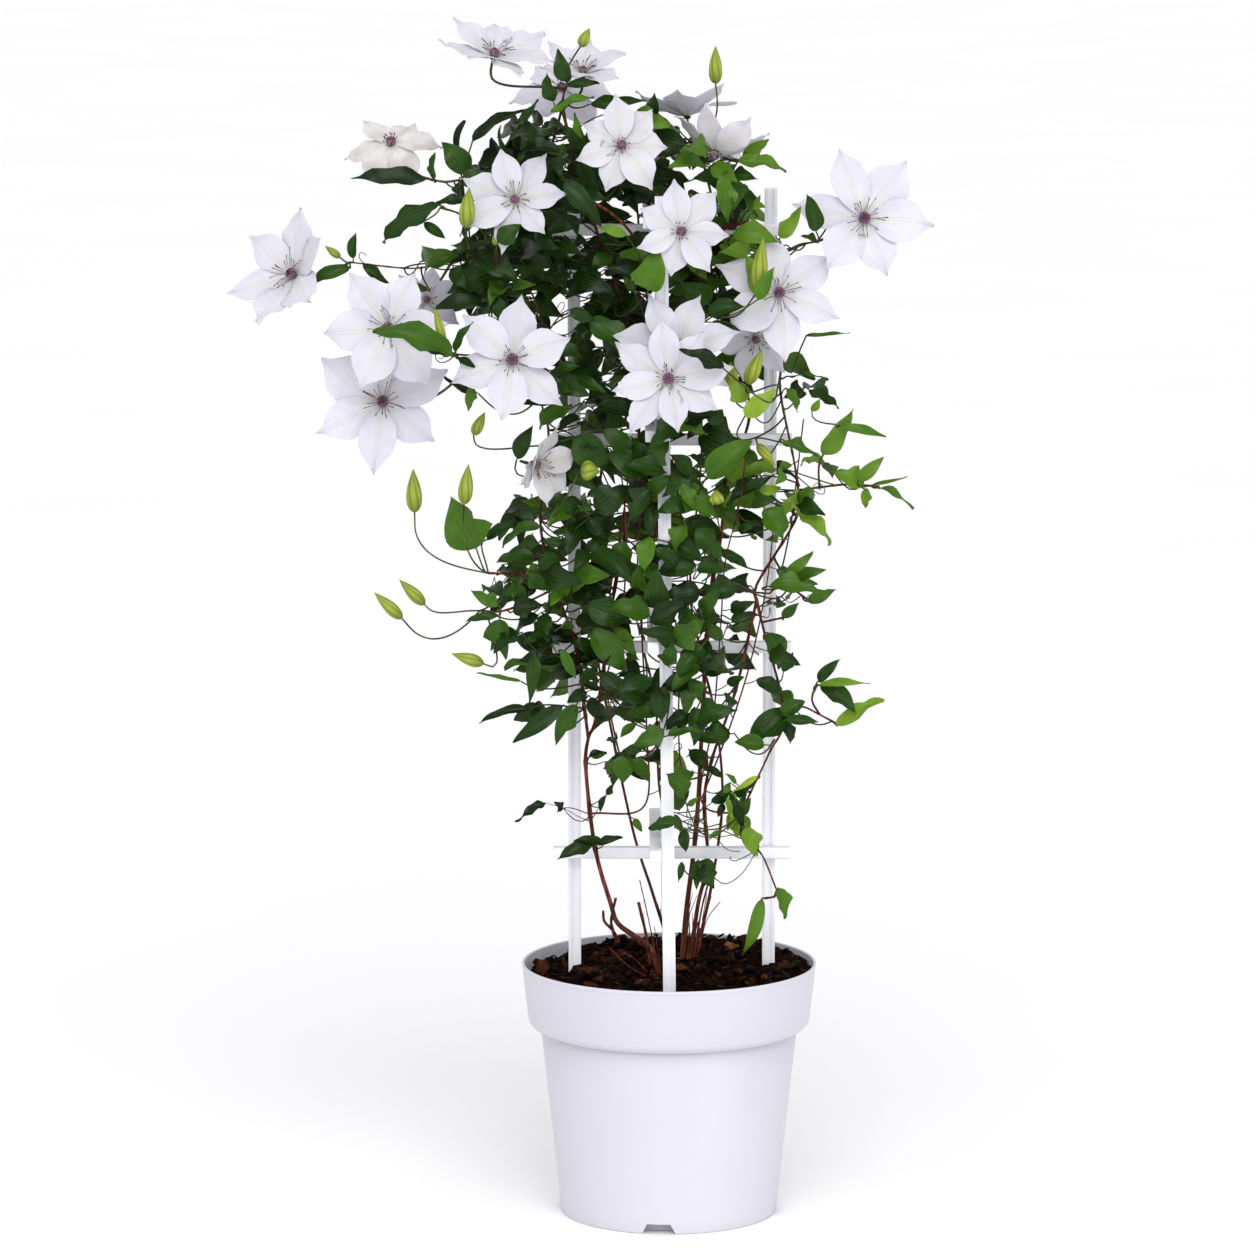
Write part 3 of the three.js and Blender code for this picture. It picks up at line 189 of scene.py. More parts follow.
# Base, tip and girth of each bud.
BUDS = [
    ((-77, -50, 1033), (-69, -50, 1049), 10), ((39, -30, 1000), (39, -30, 1033), 12),
    ((138, -40, 891), (136, -40, 904), 10), ((-174, -112, 883), (-171, -112, 918), 14),
    ((-283, -70, 854), (-296, -70, 864), 7), ((-148, -95, 866), (-150, -95, 878), 7),
    ((74, -104, 828), (79, -100, 875), 14), ((66, -90, 747), (79, -90, 777), 13),
    ((-169, -80, 702), (-159, -80, 722), 10), ((-220, -80, 635), (-221, -80, 673), 14),
    ((-177, -95, 644), (-173, -95, 679), 13), ((-212, -75, 554), (-234, -75, 576), 11),
    ((-231, -90, 544), (-255, -90, 567), 11), ((-161, -80, 503), (-189, -80, 512), 11),
    ((-77, -95, 674), (-60, -95, 672), 17), ((40, -112, 646), (39, -112, 659), 13),
    ((75, -80, 694), (91, -80, 675), 9), ((-192, -150, 788), (-200, -150, 820), 8),
    ((53, -60, 742), (52, -60, 763), 13),
]
# Hub, tip and share of width of each large leaf.
LEAVES = [
    (-208, -62, 921, -274, -62, 922, 0.25), (-180, -50, 927, -179, -50, 971, 0.3),
    (-173, -62, 927, -195, -62, 955, 0.6), (-170, -40, 951, -116, -40, 983, 0.2),
    (-199, -75, 899, -249, -75, 867, 0.42), (-172, -68, 901, -205, -68, 901, 0.3),
    (-275, -62, 844, -315, -62, 834, 0.3), (-208, -75, 827, -241, -75, 832, 0.25),
    (-185, -152, 780, -252, -156, 803, 0.34), (-187, -140, 777, -214, -146, 782, 0.3),
    (-183, -135, 780, -170, -135, 808, 0.25), (-144, -58, 844, -194, -58, 825, 0.5),
    (-162, -66, 817, -207, -66, 812, 0.36), (-147, -98, 822, -139, -98, 788, 0.35),
    (-165, -72, 737, -198, -72, 752, 0.16), (-140, -45, 940, -149, -45, 967, 0.2),
    (-133, -40, 957, -113, -40, 989, 0.26), (-88, -62, 1004, -97, -62, 1033, 0.5),
    (-87, -70, 1001, -59, -70, 1006, 0.32), (-100, -74, 979, -64, -74, 991, 0.25),
    (-69, -66, 985, -20, -66, 989, 0.25), (-104, -52, 960, -116, -52, 934, 0.35),
    (-74, -48, 943, -92, -48, 967, 0.5), (-91, -100, 922, -61, -106, 882, 0.38),
    (-77, -60, 937, -59, -60, 906, 0.65), (36, -48, 944, -2, -48, 944, 0.25),
    (58, -60, 935, 103, -60, 927, 0.33), (63, -54, 938, 86, -54, 952, 0.5),
    (44, -90, 926, 48, -90, 883, 0.38), (55, -40, 904, 75, -40, 886, 0.42),
    (53, -72, 874, 97, -72, 870, 0.42), (94, -60, 870, 110, -60, 898, 0.45),
    (125, -60, 876, 116, -60, 908, 0.5), (73, -80, 824, 65, -80, 860, 0.5),
    (75, -84, 822, 87, -84, 851, 0.45), (32, -70, 807, 65, -70, 819, 0.5),
    (33, -60, 813, 9, -60, 834, 0.75), (-19, -108, 829, -13, -112, 868, 0.75),
    (-26, -96, 841, -57, -96, 847, 0.28), (44, -135, 767, 7, -141, 783, 0.35),
    (-69, -90, 801, -30, -90, 771, 0.5), (64, -92, 720, 92, -92, 741, 0.5),
    (132, -45, 680, 157, -45, 720, 0.38), (147, -45, 707, 186, -45, 694, 0.22),
    (97, -62, 693, 128, -62, 682, 0.35), (117, -64, 786, 155, -64, 788, 0.1),
    (104, -40, 748, 138, -40, 746, 0.08), (31, -112, 670, 71, -112, 705, 0.5),
    (-86, -80, 728, -117, -80, 707, 0.5), (-132, -72, 680, -121, -72, 711, 0.45),
    (-104, -78, 728, -137, -78, 732, 0.2), (-82, -70, 700, -52, -70, 674, 0.75),
    (-57, -96, 708, -24, -96, 681, 0.4), (-62, -78, 728, -24, -78, 716, 0.5),
    (-65, -82, 637, -33, -82, 660, 0.6), (-112, -76, 623, -149, -76, 605, 0.35),
    (-167, -72, 602, -193, -72, 645, 0.72), (-158, -70, 610, -132, -70, 626, 0.35),
    (-118, -80, 598, -150, -80, 590, 0.4), (-108, -88, 602, -92, -88, 576, 0.6),
    (-110, -80, 610, -82, -80, 608, 0.3), (-49, -84, 581, -78, -84, 591, 0.5),
    (-148, -82, 554, -172, -82, 568, 0.42), (-148, -80, 547, -177, -80, 543, 0.3),
    (-136, -82, 549, -110, -82, 557, 0.6), (-147, -86, 543, -142, -86, 508, 0.65),
    (-107, -70, 566, -136, -70, 574, 0.2), (-71, -84, 554, -33, -84, 541, 0.6),
    (-66, -88, 535, -38, -88, 492, 0.48), (-48, -76, 534, -28, -76, 513, 0.55),
    (-116, -70, 513, -123, -70, 464, 0.24), (-93, -86, 516, -79, -86, 491, 0.35),
    (-129, -70, 486, -167, -70, 493, 0.1), (-121, -66, 461, -167, -66, 448, 0.2),
    (-93, -68, 465, -139, -68, 433, 0.28), (-81, -74, 466, -102, -74, 432, 0.38),
    (-69, -58, 470, -55, -58, 447, 0.55), (-4, -104, 486, -10, -104, 455, 0.65),
    (-34, -62, 416, -15, -62, 396, 0.5), (-2, -104, 444, 27, -104, 449, 0.35),
    (7, -106, 371, -21, -106, 365, 0.4), (63, -66, 358, 50, -66, 388, 0.28),
    (65, -72, 357, 76, -72, 332, 0.6), (77, -60, 401, 53, -60, 387, 0.2),
    (95, -48, 299, 100, -48, 272, 0.5), (80, -56, 291, 62, -64, 241, 0.25),
    (129, -40, 481, 147, -40, 503, 0.35), (129, -40, 480, 174, -40, 482, 0.16),
    (131, -46, 478, 165, -46, 457, 0.5), (147, -40, 442, 190, -40, 466, 0.28),
    (101, -60, 451, 131, -60, 449, 0.32), (85, -50, 526, 99, -50, 493, 0.55),
    (120, -48, 553, 146, -48, 562, 0.4), (85, -74, 570, 129, -74, 564, 0.42),
    (100, -60, 579, 127, -60, 597, 0.3), (45, -40, 596, 69, -40, 580, 0.35),
    (58, -96, 572, 21, -96, 565, 0.5), (26, -90, 569, -4, -90, 563, 0.7),
    (-2, -84, 611, 29, -84, 595, 0.6), (81, -64, 636, 99, -64, 608, 0.75),
    (112, -60, 630, 144, -60, 606, 0.38), (167, -42, 653, 141, -42, 668, 0.6),
    (163, -40, 659, 185, -40, 682, 0.4), (175, -40, 654, 207, -40, 659, 0.1),
    (181, -40, 651, 211, -40, 633, 0.24), (62, -70, 650, 91, -70, 664, 0.35),
    (-17, -110, 544, 20, -110, 560, 0.5), (28, -92, 521, 9, -92, 498, 0.7),
    (-26, -76, 576, -7, -76, 555, 0.6), (-19, -90, 680, 1, -90, 699, 0.6),
]
# The same of smaller leaves, which the solids don't have.
SMALL_LEAVES = [
    (-202, -66, 921, -201, -66, 944, 0.5), (-178, -66, 917, -155, -66, 927, 0.7),
    (-211, -70, 884, -193, -70, 868, 0.4), (-272, -64, 853, -269, -64, 875, 0.48),
    (-263, -62, 847, -243, -62, 830, 0.4), (-181, -120, 773, -166, -120, 763, 0.4),
    (-152, -85, 863, -176, -85, 860, 0.6), (-147, -105, 870, -126, -105, 886, 0.6),
    (-170, -76, 744, -173, -76, 721, 0.4), (-100, -66, 987, -106, -66, 1011, 0.55),
    (-14, -50, 973, -14, -50, 993, 0.7), (-89, -58, 938, -107, -58, 945, 0.75),
    (-75, -62, 956, -82, -62, 978, 0.35), (-122, -58, 923, -131, -58, 943, 0.5),
    (-106, -70, 914, -104, -70, 938, 0.35), (-38, -90, 875, -63, -90, 883, 0.35),
    (126, -56, 866, 112, -56, 871, 0.6), (-31, -100, 828, -41, -100, 840, 0.6),
    (36, -96, 801, 60, -96, 792, 0.36), (-86, -98, 812, -64, -98, 801, 0.45),
    (-80, -100, 764, -104, -100, 754, 0.45), (65, -80, 731, 50, -80, 751, 0.7),
    (45, -80, 712, 29, -80, 726, 0.65), (101, -40, 738, 111, -40, 716, 0.4),
    (123, -40, 718, 129, -40, 729, 0.6), (31, -100, 680, 15, -100, 686, 0.6),
    (-5, -60, 636, -31, -60, 633, 0.8), (-84, -76, 617, -84, -76, 643, 0.5),
    (-69, -84, 631, -53, -84, 613, 0.75), (-111, -74, 636, -136, -74, 634, 0.35),
    (-50, -76, 606, -31, -76, 590, 0.6), (-34, -60, 493, -33, -60, 467, 0.5),
    (-71, -46, 415, -54, -46, 420, 0.4), (-36, -58, 419, -43, -58, 394, 0.75),
    (-39, -60, 422, -18, -60, 432, 0.4), (12, -108, 391, -3, -108, 412, 0.8),
    (18, -30, 419, 34, -30, 398, 0.5), (31, -40, 319, 32, -40, 299, 0.85),
    (11, -40, 321, 8, -40, 303, 0.35), (63, -60, 366, 70, -60, 382, 0.5),
    (98, -54, 455, 118, -54, 468, 0.7), (99, -50, 447, 107, -50, 426, 0.5),
    (82, -62, 429, 56, -62, 430, 0.65), (99, -46, 491, 107, -46, 509, 0.45),
    (98, -50, 539, 111, -50, 553, 0.5), (28, -80, 614, 17, -80, 632, 0.75),
    (123, -56, 653, 108, -56, 641, 0.8), (170, -44, 651, 168, -44, 634, 0.55),
    (17, -96, 669, 1, -96, 689, 0.6), (26, -86, 646, 12, -86, 662, 0.6),
    (45, -60, 521, 30, -60, 538, 0.5), (-12, -70, 592, -31, -70, 605, 0.6),
]
# Low leaves: hub, tip, share of width, and tone.
LOW_LEAVES = [
    (-66, -48, 339, -97, -55, 326, 0.42, 0.12), (-64, -48, 338, -40, -50, 347, 0.3, 0.05),
    (-60, -46, 341, -84, -52, 342, 0.35, 0.1), (-93, -45, 370, -101, -46, 376, 0.6, 0.0),
    (-93, -45, 370, -99, -44, 366, 0.6, 0.0), (-108, -46, 375, -135, -50, 360, 0.28, 0.0),
    (-57, -42, 380, -62, -42, 366, 0.4, 0.0), (-55, -42, 381, -48, -42, 391, 0.45, 0.0),
    (-69, -36, 414, -54, -36, 418, 0.5, 0.5), (-43, -40, 412, -50, -44, 391, 0.62, 0.3),
    (-43, -40, 412, -19, -44, 427, 0.4, 0.2), (-37, -44, 411, -18, -44, 394, 0.6, 0.25),
    (-55, -44, 411, -40, -46, 397, 0.6, 0.4), (-1, -40, 372, 18, -43, 384, 0.85, 0.35),
    (8, -40, 356, -19, -43, 354, 0.55, 0.3), (12, -40, 350, 16, -44, 330, 0.5, 0.25),
    (25, -35, 321, 40, -41, 299, 0.8, 0.3), (24, -34, 318, 25, -37, 296, 0.4, 0.35),
    (56, -40, 378, 57, -45, 361, 0.4, 0.78), (57, -40, 366, 49, -45, 350, 0.45, 0.7),
    (62, -40, 356, 72, -45, 337, 0.6, 0.72), (66, -40, 350, 77, -44, 327, 0.55, 0.6),
    (56, -40, 380, 77, -42, 397, 0.35, 0.2), (48, -38, 372, 41, -41, 361, 0.5, 0.1),
    (60, -40, 370, 67, -42, 385, 0.35, 0.68), (56, -47, 384, 51, -54, 364, 0.42, 0.8),
    (60, -48, 372, 53, -53, 352, 0.4, 0.88), (53, -48, 364, 61, -53, 344, 0.45, 0.74),
    (64, -47, 364, 69, -53, 347, 0.5, 0.66), (58, -46, 392, 49, -52, 402, 0.35, 0.55),
    (50, -46, 380, 40, -52, 386, 0.3, 0.3), (3, -46, 364, 10, -51, 348, 0.55, 0.4),
    (16, -44, 372, 26, -50, 380, 0.4, 0.62), (44, -46, 350, 34, -52, 343, 0.35, 0.6),
    (52, -42, 392, 48, -46, 377, 0.4, 0.6), (34, -38, 405, 47, -42, 396, 0.5, 0.2),
    (2, -40, 410, -12, -42, 398, 0.5, 0.3),
]
# Thin red shoots that climb among the leaves.
SHOOTS = [
    [(28, -40, 375), (38, -52, 450), (44, -58, 530), (48, -62, 590), (60, -66, 640), (66, -62, 690)],
    [(-22, -46, 372), (-20, -58, 440), (-24, -66, 520), (-28, -70, 600), (-20, -66, 660)],
    [(-44, -50, 420), (-56, -60, 490), (-52, -66, 560), (-42, -70, 620), (-34, -66, 680)],
    [(30, -30, 380), (52, -44, 440), (70, -54, 500), (84, -58, 570), (92, -50, 640)],
    [(-62, -52, 470), (-44, -62, 530), (-38, -72, 590), (-40, -74, 650), (-48, -66, 700)],
    [(92, -20, 560), (104, -34, 610), (110, -40, 660), (116, -30, 710)],
    [(12, -40, 400), (8, -56, 470), (16, -66, 540), (12, -70, 610), (2, -62, 680)],
]
# Old bare canes that arch out of the foliage: places, then thick and thin radius.
OLD_BENDS = [
    ([(44, -50, 876), (56, -56, 881), (72, -60, 883), (84, -58, 874), (95, -54, 860),
     (103, -46, 844)], 2.0, 1.5),
    ([(-84, -72, 906), (-68, -84, 903), (-54, -88, 896), (-42, -86, 886), (-32, -78, 874)], 1.5, 1.2),
]
# Loose tendrils between the canes.
TENDRILS = [
    [(13, -30, 344), (30, -36, 338), (50, -38, 341), (67, -36, 347)],
    [(20, -38, 358), (38, -44, 350), (50, -42, 336), (62, -38, 330)],
    [(40, -36, 318), (52, -38, 311), (66, -36, 317), (78, -30, 332)],
    [(56, -40, 384), (58, -40, 370), (62, -40, 356), (68, -40, 346)],
]
# Broken twigs at the foot: places, then thick and thin radius.
FOOT_TWIGS = [
    ([(-69, -40, 357), (-80, -42, 362), (-93, -45, 370), (-110, -46, 375)], 0.7, 0.35),
    ([(-69, -40, 357), (-62, -41, 369), (-55, -42, 382)], 0.6, 0.35),
    ([(-10, -22, 222), (-17, -29, 262), (-26, -40, 305)], 1.1, 0.5),
    ([(-16, -26, 222), (-20, -29, 252), (-27, -35, 284)], 1.5, 1.4),
    ([(-6, -30, 222), (-10, -31, 240), (-13, -33, 262)], 0.8, 0.3),
    ([(-3, -24, 222), (-5, -26, 250), (-4, -28, 275)], 0.9, 0.4),
    ([(-20, -44, 224), (-30, -50, 236), (-44, -56, 246)], 0.9, 0.5),
    ([(22, -2, 224), (28, -4, 268), (36, -6, 302)], 1.6, 0.8),
    ([(24, -4, 226), (33, -8, 262), (45, -12, 280)], 1.1, 0.4),
    ([(16, -4, 224), (18, -8, 256), (15, -11, 282)], 1.0, 0.5),
    ([(-45, -32, 248), (-51, -37, 266), (-47, -41, 289)], 2.3, 1.3),
    ([(-50, -35, 260), (-57, -39, 268), (-58, -42, 278)], 1.8, 1.1),
    ([(-20, -52, 221), (-36, -58, 232), (-52, -50, 246)], 0.8, 0.6),
]
# Outline of the foliage from the front: height, left and right.
FOLIAGE = [
    (370, -100, 95), (420, -125, 110), (470, -160, 115), (540, -165, 130), (600, -160, 130),
    (650, -130, 170), (700, -120, 160), (750, -125, 120), (800, -200, 75), (850, -200, 85),
    (880, -190, 100), (905, -180, 78), (950, -165, 72), (985, -110, 50),
]
# Where the growth is thicker or more open than elsewhere: x, z, radius and how much.
THICKER = [
    (-150, 800, 45, 5), (-186, 800, 40, 4), (-61, 720, 40, 3), (-103, 700, 40, 3), (86, 635, 45, 5),
    (-145, 590, 45, 4), (-103, 600, 45, 2), (-145, 550, 40, 3), (-103, 503, 50, 4), (65, 820, 35, 3),
    (-80, 470, 40, 2), (66, 716, 35, 0.2), (108, 679, 38, 0.1), (23, 591, 40, 0.2), (65, 590, 38, 0.1),
    (65, 555, 35, 0.2), (55, 505, 25, 4), (10, 660, 40, 0.6), (10, 480, 50, 0.2), (-26, 440, 45, 0.2),
    (145, 600, 40, 0.3),
]
# Bright young leaves grow near these places: x, z, radius.
YOUNG = [
    (70, 880, 30), (95, 850, 45), (-30, 870, 20), (-180, 620, 42), (150, 480, 50), (62, 722, 26),
    (82, 660, 25), (-55, 970, 35), (50, 960, 40), (-12, 640, 30), (75, 400, 30), (100, 300, 30),
    (130, 640, 60),
]


# ---- How the plant grows: the same rules that place its solids ----
class Draw:
    """The seeded draw that the solids were grown with."""

    MULTIPLIER, STEP, PERIOD = 1664525, 1013904223, 2 ** 32

    def __init__(self, seed):
        self.seed = seed

    def __call__(self, low, high):
        self.seed = (self.seed * self.MULTIPLIER + self.STEP) % self.PERIOD
        return low + (high - low) * self.seed / self.PERIOD


draw = Draw(SEEDS["growth"])
samples = []                               # (vine, place) of all that stalks may grow from
canes = {vine: [] for vine in VINES}       # vine to (points, radii) of its canes and side shoots
stalks = {vine: [] for vine in VINES}      # vine to (points, radius at each end)
leaves = {vine: [] for vine in VINES}      # vine to (hub, tip, face, width, tone)
buds = {vine: [] for vine in VINES}        # vine to (base, tip, girth)
shoots = []                                # (points, radii) of the thin red shoots and the old bends


def unit(value):
    """The value, held between 0 and 1."""
    return min(1, max(0, value))


def level(turn):
    """The level direction at this turn from the right."""
    return Vector((math.cos(turn), math.sin(turn), 0))


def leaf_ends(row):
    """Hub and tip of a leaf in one of the lists, and what else the list says of it."""
    return Vector(row[:3]), Vector(row[3:6]), row[6:]


def sample_stem(vine, points):
    """Notes places along a stem, at most 8 apart."""
    for a, b in zip(points, points[1:]):
        pieces = max(1, math.ceil((b - a).length / 8))
        samples.extend((vine, a.lerp(b, k / pieces)) for k in range(pieces))
    samples.append((vine, points[-1].copy()))


def stems_between(low, high):
    return [sample for sample in samples if low < sample[1].z < high]


def roots(end, allow=None):
    """The four best places to grow a stalk from: near its end, and rather below it than above."""
    def cost(sample):
        return (sample[1] - end).length + 0.7 * max(0, sample[1].z - end.z + 6)

    near = sorted((s for s in samples if (not allow or allow(s)) and (s[1] - end).length > 5), key=cost)
    best = []
    for sample in near:
        if all((other[1] - sample[1]).length > 18 for other in best):
            best.append(sample)
        if len(best) == 4:
            break
    return best


def stalk_line(start, end, arrive, bend, pieces):
    """Points along a stalk that leaves its stem freely and arrives in the leaf's own direction."""
    span = (end - start).length
    sag = Vector(bend) * span
    second = start.lerp(end, 0.33) + sag
    third = end - arrive * (0.35 * span) + sag
    line = []
    for i in range(pieces + 1):
        t = i / pieces
        line.append(start * (1 - t) ** 3 + second * (3 * t * (1 - t) ** 2) + third * (3 * t * t * (1 - t))
                    + end * t ** 3)
    return line


def leaf_outline(s):
    """A leaf's width at the share s of its length, widest below the middle."""
    return math.sin(math.pi * s ** 0.75) ** 0.85 * (1 - 0.18 * s ** 3) if 0 < s < 1 else 0


def blade_frame(start, tip, face, arch, s):
    """Middle line, side and normal of a blade at the share s of its length."""
    chord = tip - start
    length = chord.length
    along = chord.normalized()
    normal = (face - along * face.dot(along)).normalized()
    side = along.cross(normal)
    centre = start.lerp(tip, s) + normal * (4 * arch * length * s * (1 - s))
    slope = (chord + normal * (4 * arch * length * (1 - 2 * s))).normalized()
    return centre, side, side.cross(slope)


def leaf_face(hub, tip, front, roll):
    """Where a leaf faces: outwards and up, rolled about its own length."""
    along = (tip - hub).normalized()
    return Quaternion(along, math.radians(roll)) @ Vector((hub.x / 300, front, 0.5))


def bloom_axes(facing):
    axis = Vector(facing).normalized()
    across = UP.cross(axis).normalized()
    return axis, across, axis.cross(across)


def node_corners(names):
    """The corners of the named solids, in millimetres."""
    points = [v.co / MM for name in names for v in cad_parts[name].data.vertices]
    tree = KDTree(len(points))
    for i, point in enumerate(points):
        tree.insert(point, i)
    tree.balance()
    return tree


def node_surface(names):
    """The faces of the named solids, in millimetres, to measure distances from."""
    points, faces = [], []
    for name in names:
        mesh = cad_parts[name].data
        first = len(points)
        points.extend(v.co / MM for v in mesh.vertices)
        faces.extend([first + i for i in p.vertices] for p in mesh.polygons)
    return BVHTree.FromPolygons(points, faces)


corners = node_corners([f"vine_{vine}" for vine in VINES])
vine_surface = {vine: node_surface([f"vine_{vine}"]) for vine in VINES}


def is_corner(point):
    return corners.find(point)[2] < 0.4


def lies_in(vine, line, reach):
    """Whether a stalk's solid follows this line."""
    for a, b in zip(line, line[1:]):
        for share in (0.3, 0.7):
            if vine_surface[vine].find_nearest(a.lerp(b, share))[3] > reach:
                return False
    return True


def find_stalk(end, arrive, reach, back=None, allow=None):
    """Which stem a stalk grows from, and its bend: the first of the tries that its solid follows."""
    options = roots(end, allow)
    for vine, start in options:
        for bend in BENDS:
            pieces = 1 if (end - start).length < 30 else 2
            line = stalk_line(start, end, arrive, bend, pieces) + ([back] if back else [])
            if lies_in(vine, line, reach):
                return vine, start, bend
    return options[0][0], options[0][1], BENDS[0]


def add_leaf(vine, hub, tip, face, width, tone):
    leaves[vine].append((hub, tip, face, width, tone))


def add_stalk(vine, points, thick, thin):
    stalks[vine].append((points, (thick, thin)))


def plan_canes():
    """The canes, from their buried feet up, and the side shoots that leave them."""
    bury, steepest = 34, 0.25
    for vine, (first, last), points in CANES:
        path = [Vector(p) for p in points]
        if path[0].z < POT_HEIGHT + 40:
            slope = (path[0] - path[1]) / (path[1].z - path[0].z)
            aside = [max(-steepest, min(steepest, lean)) for lean in slope.xy]
            path.insert(0, path[0] + Vector((*aside, -1)) * bury)
        size = [first + (last - first) * i / (len(path) - 1) for i in range(len(path))]
        canes[vine].append((path, size))
        sample_stem(vine, [p for p in path if p.z > POT_HEIGHT + 20])
    for points in SIDE_SHOOTS:
        path = [Vector(p) for p in points]
        vine, start = min(samples, key=lambda s: (s[1] - path[0]).length)
        path[0] = start.copy()
        size = [1.5 - 0.3 * i / (len(path) - 1) for i in range(len(path))]
        canes[vine].append((path, size))
        sample_stem(vine, path[1:])


def tone_of(hub, rng):
    """0 for an old dark leaf, 1 for a young yellow-green one, which grow at the outside."""
    outside = unit((hub.x - 10) / 110) * (0.6 if hub.z > 800 else 1)
    return unit(rng.gauss(0.19 + 0.27 * outside, 0.165))


def find_leaf(hub, tip, width, front, rng, allow=None):
    """A leaf where its solid found room: the first of the shifts whose corners are the solid's."""
    roll = draw(-22, 22)
    for shift, turn in SHIFTS:
        end = hub + Vector((0, shift, 0))
        point = tip + Vector((0, shift, 0))
        face = leaf_face(end, point, front, roll + turn)
        length = (point - end).length
        s = 0.3 if length < 42 else 0.45
        centre, side, normal = blade_frame(end, point, face, LEAF_ARCH, s)
        half = 0.5 * width * length * leaf_outline(s)
        fold = math.radians(LEAF_FOLD)
        edge = centre - side * (half * math.cos(fold)) + normal * (half * math.sin(fold))
        if not (is_corner(point) and is_corner(edge)):
            continue
        arrive = (point - end).normalized()
        vine, start, bend = find_stalk(end, arrive, 0.9, allow=allow)
        add_leaf(vine, end, point, face, width, tone_of(end, rng))
        add_stalk(vine, stalk_line(start, end, arrive, bend, 6), 0.85, 0.7)
        return


def plan_sepals():
    """The draws of each bloom's sepals: turn, lift and length."""
    plan = []
    for _, _, reach, count, spin, cup in BLOOMS:
        sepals = []
        for i in range(count):
            lift = 0 if count % 2 == 1 and i == count - 1 else SEPAL_LIFT * (1 - 2 * (i % 2))
            turn = spin + 360 * i / count + draw(-3, 3)
            sepals.append((turn, cup + lift + draw(-1, 1), reach * draw(0.93, 1.07)))
        plan.append(sepals)
    return plan


def plan_leaves():
    """The large leaves, and the pairs along the canes at the back."""
    rng = random.Random(SEEDS["tones"])
    for row in LEAVES:
        hub, tip, (width,) = leaf_ends(row)
        find_leaf(hub, tip, width, -1, rng)
    for vine in BACK_CANES:
        line = [s[1] for s in samples if s[0] == vine and BACK_LOWEST < s[1].z < BACK_HIGHEST]
        travelled, pair = 0, 0
        for before, here in zip(line, line[1:]):
            travelled += (here - before).length
            if travelled < BACK_PITCH:
                continue
            travelled = 0
            pair += 1
            for half in (0, 180):
                out = level(math.radians(pair * BACK_TURN + half + draw(-12, 12)))
                if out.y < -BACK_FACING:
                    continue
                hub = here + out * BACK_STALK + UP * (0.3 * BACK_STALK)
                length = BACK_LENGTH * draw(0.85, 1.15)
                tip = hub + out * length + UP * (draw(-0.45, 0.15) * length)
                find_leaf(hub, tip, BACK_WIDTH, 1, rng, lambda s, own=vine: s[0] == own)


def plan_flower_stalks_and_buds():
    for at, facing, *_ in BLOOMS:
        axis = Vector(facing).normalized()
        end = Vector(at) - axis * (HUB_BACK + 1.3 * GAP)
        neck = end - axis * HUB_NECK
        vine, start, bend = find_stalk(neck, axis, 1.2, back=end)
        add_stalk(vine, stalk_line(start, neck, axis, bend, 7) + [end], 1.2, 1.15)
    for base, tip, girth in BUDS:
        base, tip = Vector(base), Vector(tip)
        along = (tip - base).normalized()
        vine, start, bend = find_stalk(base, along, 0.9)
        add_stalk(vine, stalk_line(start, base, along, bend, 6), 0.8, 0.75)
        buds[vine].append((base, tip, girth))


# ---- Curved stems ----
def smooth_line(points, values, step):
    """A smooth curve through the points, with the values carried along."""
    line, sizes = [], []
    ends = [points[0] * 2 - points[1]] + points + [points[-1] * 2 - points[-2]]
    for i in range(len(points) - 1):
        a, b, c, d = ends[i:i + 4]
        pieces = max(1, round((c - b).length / step))
        for k in range(pieces):
            t = k / pieces
            line.append(0.5 * ((2 * b) + (c - a) * t + (2 * a - 5 * b + 4 * c - d) * t * t
                               + (3 * b - a - 3 * c + d) * t ** 3))
            sizes.append(values[i] + (values[i + 1] - values[i]) * t)
    return line + [points[-1].copy()], sizes + [values[-1]]


def tubes(lines, sides):
    """A mesh of round tubes along lines of (points, radii), in metres."""
    curve = bpy.data.curves.new("stems", "CURVE")
    curve.dimensions = "3D"
    curve.bevel_depth = 1
    curve.bevel_resolution = (sides - 4) // 2
    curve.use_fill_caps = True
    for points, radii in lines:
        spline = curve.splines.new("POLY")
        spline.points.add(len(points) - 1)
        for knot, point, radius in zip(spline.points, points, radii):
            knot.co = (*(point * MM), 1)
            knot.radius = radius * MM
    holder = bpy.data.objects.new("stems", curve)
    mesh = bpy.data.meshes.new_from_object(holder)
    bpy.data.objects.remove(holder)
    return mesh


# ---- Making pieces ----
def add_object(name, data):
    thing = bpy.data.objects.new(name, data)
    bpy.context.scene.collection.objects.link(thing)
    return thing


def finish_piece(name, mesh, materials, nodes=(), smooth=180):
    """A finished piece, shaded smooth but for its edges over the angle `smooth`."""
    mesh.name = name
    for material in materials:
        mesh.materials.append(material)
    mesh.shade_smooth()
    if smooth < 180:
        mesh.set_sharp_from_angle(angle=math.radians(smooth))
    piece = add_object(name, mesh)
    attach(piece, "root")
    if nodes:
        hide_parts(*nodes)
    return piece


def to_mesh(name, bm, scale=True):
    if scale:
        bmesh.ops.scale(bm, vec=(MM, MM, MM), verts=bm.verts)
    mesh = bpy.data.meshes.new(name)
    bm.to_mesh(mesh)
    bm.free()
    return mesh


def add_modifier(piece, kind, **settings):
    modifier = piece.modifiers.new(kind.title(), kind)
    for key, value in settings.items():
        setattr(modifier, key, value)


def thicken(piece, thickness, **rims):
    """Gives a blade its thickness, and shades it by its large faces."""
    add_modifier(piece, "SOLIDIFY", thickness=thickness * MM, offset=-1, **rims)
    add_modifier(piece, "WEIGHTED_NORMAL", mode="FACE_AREA", weight=80)


